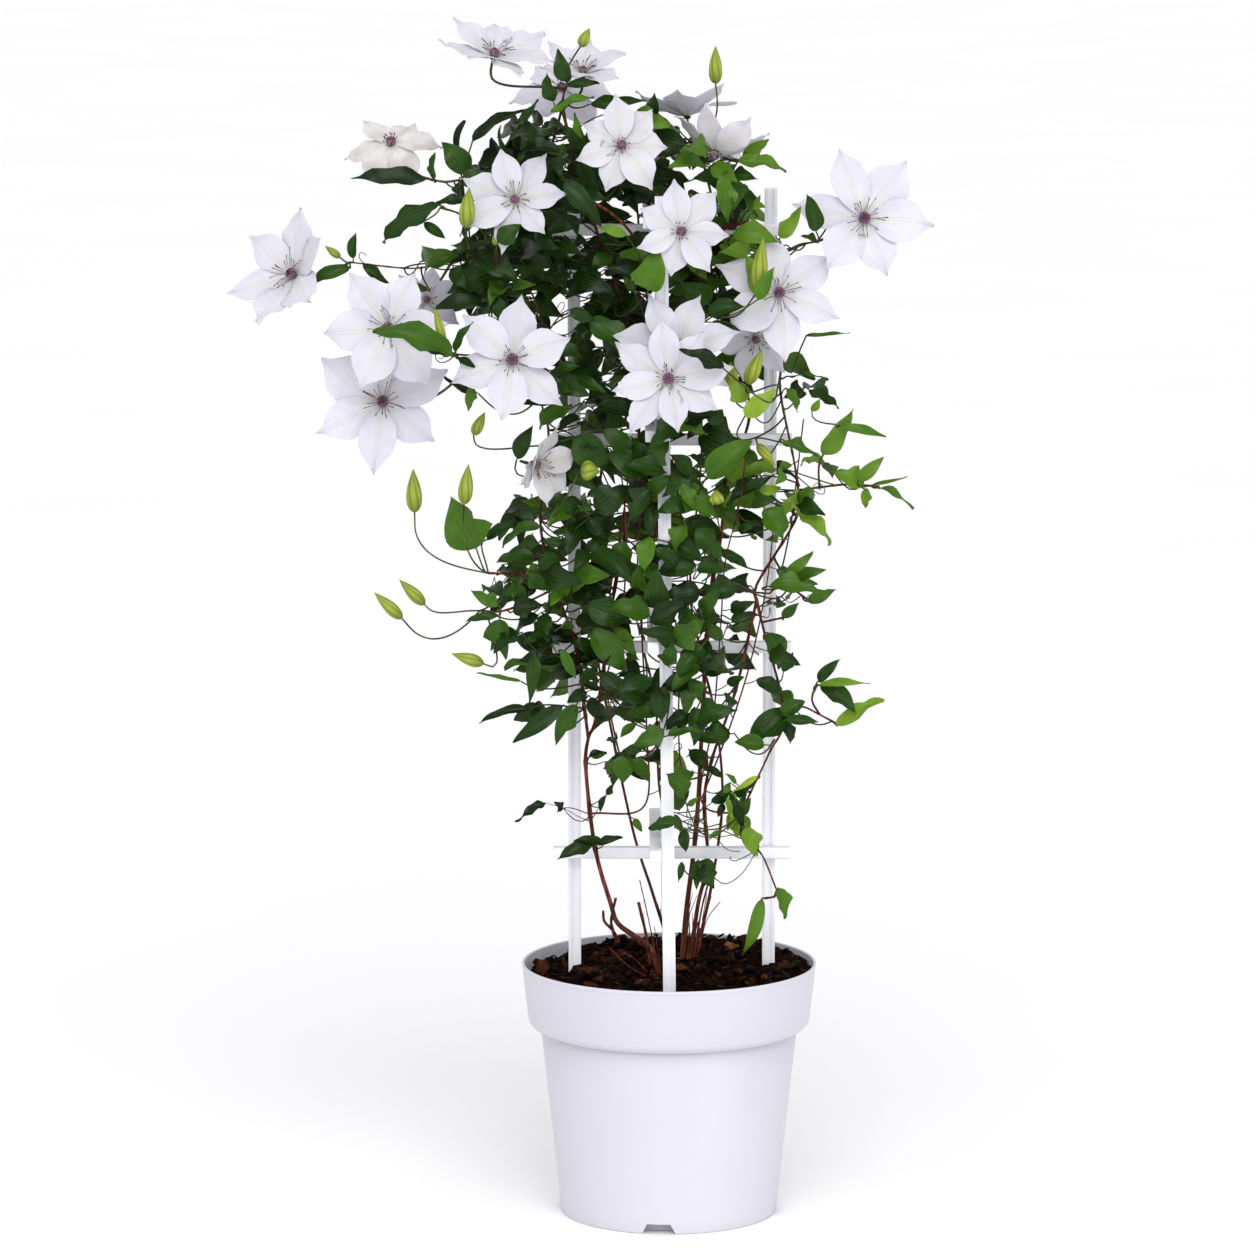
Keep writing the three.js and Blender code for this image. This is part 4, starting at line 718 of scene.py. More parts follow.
def note(mesh, layer, value):
    """Stores a share at each point of a mesh, worked out from the point in millimetres."""
    stored = mesh.attributes.new(layer, "FLOAT", "POINT")
    for v, item in zip(mesh.vertices, stored.data):
        item.value = unit(value(v.co / MM))


def bunched(share, much):
    """A share from 0 to 1, drawn towards both ends, so that a blade's foot and tip are finer."""
    return (1 - math.cos(math.pi * share)) / 2 * much + share * (1 - much)


# ---- Finishes ----
def grey(value):
    return value, value, value


class Finish:
    """A node material with a helper for each node that the finishes below share."""

    def __init__(self, name, roughness, **sockets):
        self.material = bpy.data.materials.new(name)
        self.material.use_nodes = True
        self.tree = self.material.node_tree
        self.shader = self.tree.nodes["Principled BSDF"]
        self.shader.inputs["Roughness"].default_value = roughness
        for key, value in sockets.items():
            self.shader.inputs[key.replace("_", " ")].default_value = value

    def node(self, kind, **settings):
        node = self.tree.nodes.new(kind)
        for key, value in settings.items():
            setattr(node, key, value)
        return node

    def link(self, source, target):
        self.tree.links.new(source, target)

    def feed(self, socket, value):
        """Gives a node's socket a number, a colour or another node's output."""
        if isinstance(value, (int, float)):
            socket.default_value = value
        elif isinstance(value, tuple):
            socket.default_value = (*value, 1)
        else:
            self.link(value, socket)

    def place(self, scale=(1, 1, 1)):
        """Object coordinates, stretched."""
        coordinates = self.node("ShaderNodeTexCoord")
        mapping = self.node("ShaderNodeMapping")
        mapping.inputs["Scale"].default_value = scale
        self.link(coordinates.outputs["Object"], mapping.inputs["Vector"])
        return mapping.outputs["Vector"]

    def noise(self, scale, detail=3, place=None, distortion=0):
        node = self.node("ShaderNodeTexNoise")
        node.inputs["Scale"].default_value = scale
        node.inputs["Detail"].default_value = detail
        node.inputs["Distortion"].default_value = distortion
        self.link(place or self.place(), node.inputs["Vector"])
        return node.outputs["Fac"]

    def ramp(self, source, *stops):
        node = self.node("ShaderNodeValToRGB")
        elements = node.color_ramp.elements
        while len(elements) < len(stops):
            elements.new(0.5)
        for element, (position, colour) in zip(elements, stops):
            element.position = position
            element.color = (*colour, 1)
        self.link(source, node.inputs["Fac"])
        return node.outputs["Color"]

    def shades(self, source, low, high):
        """A grey from 0 to 1 as the source goes from low to high, which may be the smaller of the two."""
        return self.ramp(source, *sorted([(low, grey(0)), (high, grey(1))]))

    def mix(self, share, first, second):
        node = self.node("ShaderNodeMix", data_type="RGBA")
        for name, value in (("Factor", share), ("A", first), ("B", second)):
            self.feed(node.inputs[name], value)
        return node.outputs["Result"]

    def math(self, operation, first, second=0.0):
        node = self.node("ShaderNodeMath", operation=operation)
        for socket, value in zip(node.inputs, (first, second)):
            self.feed(socket, value)
        return node.outputs["Value"]

    def attribute(self, name):
        return self.node("ShaderNodeAttribute", attribute_name=name).outputs["Fac"]

    def own_map(self):
        return self.node("ShaderNodeUVMap", uv_map="UVMap").outputs["UV"]

    def across_and_along(self):
        """The piece's own map, whose U runs across it and whose V runs along it."""
        split = self.node("ShaderNodeSeparateXYZ")
        self.link(self.own_map(), split.inputs["Vector"])
        return split.outputs["X"], split.outputs["Y"]

    def lines_beside(self, from_rib, lines, sway=0.0):
        """0 on lines at these distances from the rib, and 1 beside them."""
        drawn = None
        for place, width in lines:
            bent = self.math("ADD", from_rib, sway if place else 0.0)
            distance = self.math("ABSOLUTE", self.math("SUBTRACT", bent, place))
            line = self.math("MINIMUM", self.math("DIVIDE", distance, width), 1.0)
            drawn = line if drawn is None else self.math("MULTIPLY", drawn, line)
        return drawn

    def colour(self, source):
        self.link(source, self.shader.inputs["Base Color"])

    def roughness(self, source):
        self.link(source, self.shader.inputs["Roughness"])

    def bump(self, height, distance):
        node = self.node("ShaderNodeBump")
        node.inputs["Distance"].default_value = distance
        node.inputs["Strength"].default_value = 1
        self.link(height, node.inputs["Height"])
        self.link(node.outputs["Normal"], self.shader.inputs["Normal"])


def pot_plastic():
    f = Finish("pale_pot_plastic", 0.3, IOR=1.5)
    cloud = f.noise(6, 4)
    f.colour(f.ramp(cloud, (0.3, (0.60, 0.587, 0.645)), (0.7, (0.622, 0.608, 0.667))))
    scuffs = f.noise(14, 6)
    f.roughness(f.ramp(scuffs, (0.35, grey(0.34)), (0.75, grey(0.46))))
    f.bump(f.noise(700, 3), 0.00006)
    return f.material


def trellis_plastic():
    f = Finish("white_trellis_plastic", 0.38, IOR=1.47)
    streaks = f.noise(90, 4, f.place((1, 1, 0.06)))
    f.colour(f.ramp(streaks, (0.25, (0.79, 0.79, 0.84)), (0.75, (0.84, 0.84, 0.88))))
    f.roughness(f.ramp(f.noise(40, 3), (0.3, grey(0.32)), (0.7, grey(0.48))))
    f.bump(streaks, 0.00005)
    return f.material


def potting_soil():
    f = Finish("potting_soil", 0.9, Specular_IOR_Level=0.03)
    crumbs = f.noise(160, 6)
    f.colour(f.ramp(crumbs, (0.3, (0.001, 0.0004, 0.0002)), (0.5, (0.005, 0.0018, 0.0008)),
                    (0.72, (0.024, 0.008, 0.0034))))
    f.bump(f.mix(0.5, crumbs, f.noise(420, 4)), 0.003)
    return f.material


def chip_bark():
    """Dark wet chips and a few dry brown ones, with a grain across each."""
    f = Finish("chipped_bark", 0.75, Specular_IOR_Level=0.04)
    grain = f.noise(240, 5, f.place((1, 0.35, 1)))
    base = f.ramp(f.attribute("tone"), (0, (0.002, 0.0007, 0.0003)), (0.4, (0.010, 0.0033, 0.0013)),
                  (0.75, (0.085, 0.027, 0.009)), (1, (0.24, 0.095, 0.036)))
    f.colour(f.mix(f.shades(grain, 0.35, 0.65), f.mix(0.7, base, (0.006, 0.0022, 0.001)), base))
    f.bump(grain, 0.0012)
    return f.material


def cane_bark():
    """Stringy red-brown bark, with green patches on the young wood higher up."""
    f = Finish("red_brown_bark", 0.6, Specular_IOR_Level=0.16)
    strands = f.noise(420, 4, f.place((1, 1, 0.08)), 0.6)
    patches = f.noise(26, 3)
    bark = f.ramp(strands, (0.3, (0.018, 0.0045, 0.003)), (0.52, (0.085, 0.017, 0.008)),
                  (0.72, (0.26, 0.075, 0.032)))
    green = (0.07, 0.085, 0.022)
    young = f.attribute("tone")
    f.colour(f.mix(f.math("MULTIPLY", f.shades(patches, 0.3, 0.7), young), bark, green))
    f.bump(strands, 0.0005)
    return f.material


def green_stalk():
    f = Finish("green_stalk", 0.55, Specular_IOR_Level=0.2)
    patches = f.noise(45, 3)
    f.colour(f.ramp(patches, (0.36, (0.034, 0.011, 0.006)), (0.5, (0.03, 0.04, 0.008)),
                    (0.7, (0.08, 0.12, 0.02))))
    f.bump(f.noise(500, 3, f.place((1, 1, 0.2))), 0.0003)
    return f.material


def leaf_finish(name, under):
    """Glossy above with sunken nerves that run from the stalk to the tip, and paler and duller below."""
    f = Finish(name, 0.5 if under else 0.3, IOR=1.42, Specular_IOR_Level=0.12 if under else 0.24)
    across, _ = f.across_and_along()
    from_rib = f.math("ABSOLUTE", f.math("SUBTRACT", across, 0.5))
    sway = f.math("MULTIPLY", f.math("SUBTRACT", f.noise(70, 2), 0.5), 0.05)
    nerves = f.lines_beside(from_rib, ((0.0, 0.022), (0.15, 0.014), (0.31, 0.011)), sway)
    net = f.node("ShaderNodeTexVoronoi", feature="DISTANCE_TO_EDGE")
    net.inputs["Scale"].default_value = 230
    f.link(f.place(), net.inputs["Vector"])
    quilt = f.shades(net.outputs["Distance"], 0.0, 0.12)
    if under:
        greens = [(0, (0.022, 0.056, 0.008)), (0.4, (0.06, 0.125, 0.018)), (0.75, (0.17, 0.29, 0.045)),
                  (1, (0.33, 0.45, 0.09))]
    else:
        greens = [(0, (0.0035, 0.016, 0.0008)), (0.3, (0.016, 0.055, 0.0022)), (0.55, (0.06, 0.15, 0.007)),
                  (0.8, (0.16, 0.29, 0.018)), (1, (0.32, 0.45, 0.05))]
    patches = f.math("MULTIPLY", f.math("SUBTRACT", f.noise(55, 3), 0.5), 0.22)
    blade = f.ramp(f.math("ADD", f.attribute("tone"), patches), *greens)
    f.colour(f.mix(nerves, f.mix(0.2, blade, (0.2, 0.3, 0.09)), blade))
    height = f.math("ADD", f.math("MULTIPLY", nerves, -0.8 if under else 0.8), f.math("MULTIPLY", quilt, 0.1))
    f.bump(height, 0.00022)
    return f.material


def sepal_finish():
    """White with a breath of lavender; three ribs, greenish towards the foot."""
    f = Finish("white_sepal", 0.55, IOR=1.35, Subsurface_Weight=0.65, Subsurface_Scale=0.0016)
    f.shader.inputs["Subsurface Radius"].default_value = (1, 0.9, 1)
    across, along = f.across_and_along()
    from_rib = f.math("ABSOLUTE", f.math("SUBTRACT", across, 0.5))
    ribs = f.lines_beside(from_rib, ((0.0, 0.02), (0.075, 0.018)))
    veil = f.ramp(f.noise(38, 3), (0.3, (0.58, 0.565, 0.645)), (0.7, (0.652, 0.642, 0.70)))
    band = f.math("MULTIPLY", f.shades(from_rib, 0.30, 0.02), f.shades(along, 0.75, 0.02))
    tinted = f.mix(f.math("MULTIPLY", band, 0.6), veil, (0.62, 0.65, 0.47))
    rib_share = f.math("MULTIPLY", f.math("SUBTRACT", 1.0, ribs), f.shades(along, 1.0, 0.3))
    tinted = f.mix(f.math("MULTIPLY", rib_share, 0.3), tinted, (0.53, 0.54, 0.48))
    faded = f.ramp(f.noise(60, 4), (0.35, (0.47, 0.43, 0.34)), (0.6, (0.70, 0.67, 0.64)))
    f.colour(f.mix(f.math("MULTIPLY", f.attribute("age"), 0.8), tinted, faded))
    fine = f.node("ShaderNodeTexWave", wave_type="BANDS", bands_direction="X")
    for socket, value in (("Scale", 9), ("Distortion", 2.2), ("Detail", 2), ("Detail Scale", 1.5)):
        fine.inputs[socket].default_value = value
    f.link(f.own_map(), fine.inputs["Vector"])
    f.bump(f.math("ADD", ribs, f.math("MULTIPLY", fine.outputs["Fac"], 0.22)), 0.00026)
    return f.material


def filament_finish():
    """Cream at the foot and dark towards the tip."""
    f = Finish("pale_filament", 0.5)
    f.colour(f.ramp(f.attribute("along"), (0, (0.56, 0.55, 0.36)), (0.42, (0.52, 0.46, 0.34)),
                    (0.62, (0.20, 0.11, 0.14)), (0.8, (0.08, 0.03, 0.055)), (1, (0.04, 0.012, 0.028))))
    f.bump(f.noise(900, 2), 0.0001)
    return f.material


def anther_finish():
    f = Finish("dark_anther", 0.6)
    f.colour(f.ramp(f.noise(700, 3), (0.3, (0.022, 0.006, 0.016)), (0.7, (0.10, 0.032, 0.065))))
    f.bump(f.noise(1400, 2), 0.0002)
    return f.material


def style_finish():
    f = Finish("mauve_style", 0.5)
    f.colour(f.ramp(f.attribute("along"), (0, (0.46, 0.44, 0.26)), (0.25, (0.36, 0.23, 0.30)),
                    (0.7, (0.30, 0.155, 0.26)), (1, (0.09, 0.025, 0.06))))
    f.bump(f.noise(900, 2), 0.0001)
    return f.material


def bud_finish():
    """Yellow-green, darker along the seams between the sepals."""
    f = Finish("green_bud", 0.5, Specular_IOR_Level=0.25)
    skin = f.ramp(f.attribute("along"), (0, (0.15, 0.19, 0.018)), (0.45, (0.30, 0.355, 0.042)),
                  (1, (0.21, 0.26, 0.026)))
    seams = f.mix(f.noise(90, 3), (0.045, 0.085, 0.008), (0.10, 0.16, 0.018))
    f.colour(f.mix(f.math("MULTIPLY", f.attribute("rib"), 0.85), skin, seams))
    f.bump(f.noise(700, 3, f.place((1, 1, 0.3))), 0.0003)
    return f.material


# ---- Pot, soil and trellis ----
def turned_body(outline, steps):
    """A body turned from an outline of (radius, height) that starts and ends on the axis."""
    bm = bmesh.new()
    points = [bm.verts.new((r, 0, z)) for r, z in outline]
    edges = [bm.edges.new(pair) for pair in zip(points, points[1:])]
    bmesh.ops.spin(bm, geom=points + edges, axis=(0, 0, 1), cent=(0, 0, 0), angle=math.tau, steps=steps,
                   use_merge=True)
    bmesh.ops.remove_doubles(bm, verts=bm.verts, dist=1e-3)
    bmesh.ops.recalc_face_normals(bm, faces=bm.faces)
    return bm


def pot_outline():
    """The pot's wall from the middle of its foot up the outside, over the lip and down the inside."""
    height, top, collar = POT_HEIGHT, RIM_RADIUS - 0.3, POT_HEIGHT - COLLAR_HEIGHT
    foot = [
        (0, 0), (FOOT_RADIUS - 2.6, 0), (FOOT_RADIUS - 0.8, 0.4), (FOOT_RADIUS, 1.6),
        (FOOT_RADIUS + 1.3, 9.2), (FOOT_RADIUS + 1.6, FOOT_HEIGHT),
        (FOOT_RADIUS + 1.1, FOOT_HEIGHT + 0.5), (FOOT_RADIUS + 1.1, FOOT_HEIGHT + 1.2),
    ]
    groove = [
        (BODY_RADIUS - 0.1, collar - 1.6), (BODY_RADIUS - 0.5, collar - 0.7),
        (BODY_RADIUS - 0.6, collar + 0.9), (BODY_RADIUS + 1.2, collar + 0.8),
        (BODY_RADIUS + 1.5, collar - 0.5), (BODY_RADIUS + 2.2, collar - 0.9),
        (BODY_RADIUS + 4.4, collar - 0.1),
    ]
    deep_collar = [
        (COLLAR_RADIUS - 3.2, collar + 1.9), (COLLAR_RADIUS - 1.1, collar + 4), (COLLAR_RADIUS, collar + 7),
        (COLLAR_RADIUS + 1.6, collar + 22), (top - 1.1, height - 14), (top - 0.4, height - 3.4),
    ]
    lip = [
        (top + 0.15, height - 2.8), (top + 0.2, height - 0.9), (top - 0.2, height - 0.25),
        (top - 0.8, height), (top - 1.5, height - 0.2), (top - 2.1, height - 0.8),
    ]
    inside = [
        (COLLAR_RADIUS - WALL, collar + 5.5), (BODY_RADIUS - WALL, collar - 2),
        (FOOT_RADIUS - 2.4, FLOOR + 1.4), (FOOT_RADIUS - 3.6, FLOOR), (0, FLOOR),
    ]
    return foot + groove + deep_collar + lip + inside


def turn_to_notch(bm, verts, number):
    turn = Matrix.Rotation(math.radians(NOTCH_TURN + 360 / NOTCHES * number), 3, "Z")
    bmesh.ops.rotate(bm, verts=verts, cent=(0, 0, 0), matrix=turn)


def notch_cutter():
    """Wedges that are wider below, and go on under the foot."""
    below, spare = 4, 3
    bm = bmesh.new()
    for number in range(NOTCHES):
        block = bmesh.ops.create_cube(bm, size=1)["verts"]
        for v in block:
            width = NOTCH_TOP if v.co.z > 0 else NOTCH_FOOT + spare
            v.co = Vector((v.co.x * width, v.co.y * NOTCH_REACH, v.co.z * (NOTCH_HEIGHT + below)))
        bmesh.ops.translate(bm, verts=block, vec=(0, -FOOT_RADIUS, (NOTCH_HEIGHT - below) / 2))
        turn_to_notch(bm, block, number)
    return add_object("notches", to_mesh("notches", bm))


def make_pot(finish):
    body = to_mesh("nursery_pot", turned_body(pot_outline(), POT_STEPS))
    pot = finish_piece("nursery_pot", body, [finish], ["pot"], smooth=38)
    cutter = notch_cutter()
    add_modifier(pot, "BOOLEAN", operation="DIFFERENCE", object=cutter, solver="EXACT")
    bpy.context.view_layer.update()
    cut = bpy.data.meshes.new_from_object(pot.evaluated_get(bpy.context.evaluated_depsgraph_get()))
    pot.modifiers.clear()
    pot.data = cut
    bpy.data.objects.remove(cutter)


def make_notch_roofs(finish):
    """The pot's floor above each notch, and the wall behind it."""
    width, depth, wall, inset = NOTCH_FOOT + 6, NOTCH_REACH - 4, 2, 16
    bm = bmesh.new()
    for number in range(NOTCHES):
        roof = bmesh.ops.create_cube(bm, size=1)["verts"]
        for v in roof:
            height = NOTCH_HEIGHT + NOTCH_ROOF if v.co.z > 0 else NOTCH_HEIGHT
            v.co = Vector((v.co.x * width, v.co.y * depth, height))
        bmesh.ops.translate(bm, verts=roof, vec=(0, -FOOT_RADIUS + depth / 2 + 2.4, 0))
        back = bmesh.ops.create_cube(bm, size=1)["verts"]
        bmesh.ops.scale(bm, vec=(width, wall, NOTCH_HEIGHT + 1), verts=back)
        bmesh.ops.translate(bm, verts=back, vec=(0, -FOOT_RADIUS + inset, NOTCH_HEIGHT / 2 + 0.8))
        turn_to_notch(bm, roof + back, number)
    finish_piece("notch_roofs", to_mesh("notch_roofs", bm), [finish], ["pot"], smooth=40)


def soil_height(x, y):
    """The soil's top as the solid has it: tilted, heaped in the middle, low at the wall, and uneven."""
    r = math.hypot(x, y)
    t = unit((r - DIP_START) / (DIP_END - DIP_START))
    return (SOIL_LEVEL + SOIL_RISE_X * x + SOIL_RISE_Y * y
            + SOIL_MOUND * math.exp(-r * r / (2 * SOIL_MOUND_RADIUS ** 2)) - SOIL_DIP * t * t * (3 - 2 * t)
            + 1.5 * math.sin(0.21 * x + 1.3) * math.cos(0.17 * y) + 1.1 * math.sin(0.33 * x - 0.27 * y + 0.7))


def make_soil(finish):
    top = [(r, 0) for r in range(0, 120, 4)] + [(122, 0), (125.6, 0)]
    underneath = [(121.4, -44), (110.4, -53), (93, -203), (0, -203)]
    bm = turned_body(top + underneath, SOIL_STEPS)
    for v in bm.verts:
        if v.co.z > -1:
            crumb = noise(v.co * 0.16) * 2.6 + noise(v.co * 0.5) * 1.6 + noise(v.co * 0.07) * 2.2
            crumb += 2.6 * unit(v.co.y / 80)
            v.co.z = soil_height(v.co.x, v.co.y) + crumb * unit((DIP_END - v.co.xy.length) / 6)
        else:
            v.co.z += SOIL_LEVEL
    bmesh.ops.recalc_face_normals(bm, faces=bm.faces)
    finish_piece("potting_soil", to_mesh("potting_soil", bm), [finish], ["soil"])


def make_chips(finish):
    """Loose bark chips on the soil, clear of the posts: every third a large one."""
    rng = random.Random(SEEDS["chips"])
    bm = bmesh.new()
    tone = bm.verts.layers.float.new("tone")
    posts = [(POST_MIDDLE - POST_REACH, 0), (POST_MIDDLE + POST_REACH, 0), (POST_MIDDLE, -POST_REACH),
             (POST_MIDDLE, POST_REACH)]
    for i in range(CHIPS):
        r, turn = 121 * math.sqrt(rng.random()), rng.uniform(0, math.tau)
        x, y = r * math.cos(turn), r * math.sin(turn)
        size = rng.uniform(2.2, 6.5) if i % 3 else rng.uniform(6, 12.5)
        if any(math.hypot(x - px, y - py) < 8 + size / 2 for px, py in posts) or r + size * 0.6 > 123:
            continue
        chip = bmesh.ops.create_icosphere(bm, subdivisions=1, radius=1)["verts"]
        shade = unit(rng.gauss(0.3, 0.26))
        stretch = Vector((size * 1.1, size * rng.uniform(0.25, 0.7), size * rng.uniform(0.12, 0.42)))
        bow = rng.uniform(-0.5, 0.5)
        for v in chip:
            v.co *= rng.uniform(0.7, 1.15)
            v.co.z += bow * v.co.x * v.co.x
            v.co = Vector(a * b for a, b in zip(v.co, stretch))
            v[tone] = shade
        tilt = Quaternion((rng.uniform(-1, 1), rng.uniform(-1, 1), 0), rng.gauss(0, 0.7))
        spin = tilt @ Quaternion((0, 0, 1), rng.uniform(0, math.tau))
        bmesh.ops.rotate(bm, verts=chip, cent=(0, 0, 0), matrix=spin.to_matrix())
        heap = rng.uniform(0, 4.5) * unit((y + 20) / 90) * unit((124 - r) / 14)
        bmesh.ops.translate(bm, verts=chip, vec=(x, y, soil_height(x, y) + rng.uniform(0.2, 2.6) + heap))
    finish_piece("bark_chips", to_mesh("bark_chips", bm), [finish], ["soil"], smooth=25)


def make_trellis(finish):
    """The posts and bars, with their moulded edges rounded."""
    for name in sorted(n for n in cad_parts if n.startswith(("post_", "bar_"))):
        bm = bmesh.new()
        bm.from_mesh(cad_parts[name].data)
        bmesh.ops.remove_doubles(bm, verts=bm.verts, dist=1e-6)
        bmesh.ops.dissolve_limit(bm, angle_limit=math.radians(1), verts=bm.verts, edges=bm.edges)
        bmesh.ops.bevel(bm, geom=bm.edges[:], offset=1.1 * MM, offset_type="OFFSET", segments=3, profile=0.5,
                        affect="EDGES", clamp_overlap=True, material=-1)
        title = f"trellis_{name}"
        finish_piece(title, to_mesh(title, bm, scale=False), [finish], [name], smooth=50)


# ---- Canes, stalks, leaves and buds ----
def make_canes(vine, finish):
    """Canes that taper fast from the foot, and swell at the knots where stalks grow from them."""
    starts = [points[0] for points, _ in stalks[vine]]
    knots = KDTree(len(starts))
    for i, point in enumerate(starts):
        knots.insert(point, i)
    knots.balance()
    lines = []
    for path, size in canes[vine]:
        last = len(size) - 1
        taper = [size[-1] + (size[0] - size[-1]) * (1 - i / last) ** 2.6 for i in range(len(size))]
        points, radii = smooth_line(path, [CANE_SHARE * r for r in taper], 5)
        swollen = [r * (1 + 0.38 * math.exp(-(knots.find(p)[2] / 3.2) ** 2)) if starts else r
                   for p, r in zip(points, radii)]
        lines.append((points, swollen))
    mesh = tubes(lines, 8)
    note(mesh, "tone", lambda p: (p.z - 600) / 350)
    finish_piece(f"canes_{vine}", mesh, [finish], [f"vine_{vine}"])


def make_stalks(vine, finish):
    """Thin stalks with some slack in them, each a little different."""
    rng = random.Random(f"stalks {vine}")
    lines = []
    for points, (thick, thin) in stalks[vine]:
        last = len(points) - 1
        if last > 3 and thick < 1:
            span = min((points[-1] - points[0]).length, 70)
            slack = Vector((rng.uniform(-0.1, 0.1), rng.uniform(-0.1, 0.1), rng.uniform(-0.3, 0.1))) * span
            points = [p + slack * (4 * i / last * (1 - i / last)) for i, p in enumerate(points)]
        radii = [thick + (thin - thick) * i / last for i in range(last + 1)]
        if 2 < last < 12 and (points[-1] - points[0]).length > 22:
            points, radii = smooth_line(points, radii, 4)
        lines.append((points, radii))
    finish_piece(f"stalks_{vine}", tubes(lines, 6), [finish], [f"vine_{vine}"])


def shape_blade(bm, leaf, rng, tone_layer):
    """A grid laid along a leaf's bent and folded middle line, with a wavy edge and sometimes a side lobe."""
    start, tip, face, width, tone = leaf
    length = (tip - start).length
    grid = bmesh.ops.create_grid(bm, x_segments=4, y_segments=12, size=0.5, calc_uvs=True)["verts"]
    phase, ripples, wave = rng.uniform(0, math.tau), rng.uniform(1.0, 2.6), rng.uniform(0.02, 0.075)
    curl, twist, hook = rng.uniform(-0.15, 0.6), rng.uniform(-0.55, 0.55), rng.uniform(-0.1, 0.1)
    lean, point = rng.uniform(-0.12, 0.12), rng.uniform(0.05, 0.5)
    fold = math.radians(LEAF_FOLD + rng.uniform(-8, 20))
    lobes = {side: (rng.random() < 0.3) * rng.uniform(0.2, 0.5) for side in (1, -1)}
    lobe_place = rng.uniform(0.3, 0.45)
    for v in grid:
        across, s = v.co.x * 2, bunched(v.co.y + 0.5, 0.5)
        centre, side, normal = blade_frame(start, tip, face, LEAF_ARCH, s)
        half = 0.5 * width * length * leaf_outline(s) * (1 - point * s ** 2.5) * (1 + point * 0.25)
        if abs(across) > 0.6:
            lobe = lobes[1 if across > 0 else -1]
            half *= (1 + lobe * math.exp(-((s - lobe_place) / 0.1) ** 2)
                     - 0.7 * lobe * math.exp(-((s - lobe_place - 0.2) / 0.09) ** 2))
        spread = across * half
        ripple = math.sin(math.tau * ripples * s + phase + (1.7 if across > 0 else 0))
        lift = abs(across) ** 1.3 * half * math.sin(fold)
        lift += length * wave * across * across * ripple
        lift += spread * twist * (s - 0.25) - length * curl * max(0, s - 0.4) ** 2
        aside = spread * math.cos(fold) + length * (lean * s * (1 - s) + hook * s * s)
        v.co = centre + side * aside + normal * lift
        v[tone_layer] = tone


def make_leaves(vine, finishes):
    rng = random.Random(f"leaves {vine}")
    bm = bmesh.new()
    bm.loops.layers.uv.new("UVMap")
    tone_layer = bm.verts.layers.float.new("tone")
    for leaf in leaves[vine]:
        shape_blade(bm, leaf, rng, tone_layer)
    bmesh.ops.remove_doubles(bm, verts=bm.verts, dist=0.02)
    piece = finish_piece(f"leaves_{vine}", to_mesh("leaves", bm), finishes, [f"vine_{vine}"])
    thicken(piece, LEAF_THICKNESS, material_offset=1, material_offset_rim=0)


def make_buds(vine, finish):
    """Pointed buds of six closed sepals, a little wound, with a groove along each seam."""
    if not buds[vine]:
        return
    bm = bmesh.new()
    rib_layer, along_layer = bm.verts.layers.float.new("rib"), bm.verts.layers.float.new("along")
    for base, tip, girth in buds[vine]:
        along = tip - base
        across = along.cross(Vector((0.3, -1, 0.1))).normalized()
        third = along.normalized().cross(across)
        for v in bmesh.ops.create_uvsphere(bm, u_segments=36, v_segments=14, radius=1)["verts"]:
            s = (v.co.z + 1) / 2
            turn = math.atan2(v.co.y, v.co.x) if abs(v.co.z) < 0.999 else 0
            bulge = abs(math.sin(3 * (turn + 0.9 * s)))
            outline = math.sin(math.pi * min(1, s + 0.004) ** 0.62) ** 0.9
            radius = girth / 2 * outline * (0.87 + 0.17 * bulge ** 0.6)
            v[rib_layer], v[along_layer] = max(0, 1 - 1.9 * bulge), s
            v.co = base + along * s + across * (radius * math.cos(turn)) + third * (radius * math.sin(turn))
    finish_piece(f"buds_{vine}", to_mesh("buds", bm), [finish], [f"vine_{vine}"])


# ---- Blooms ----
def sepal_outline(s):
    """Broad from close to the foot, with drawn-in sides before the point."""
    if not 0 < s < 1:
        return 0
    return math.sin(math.pi * s ** 1.08) ** 0.82 * (1 - 0.5 * math.exp(-((s - 0.93) / 0.13) ** 2))


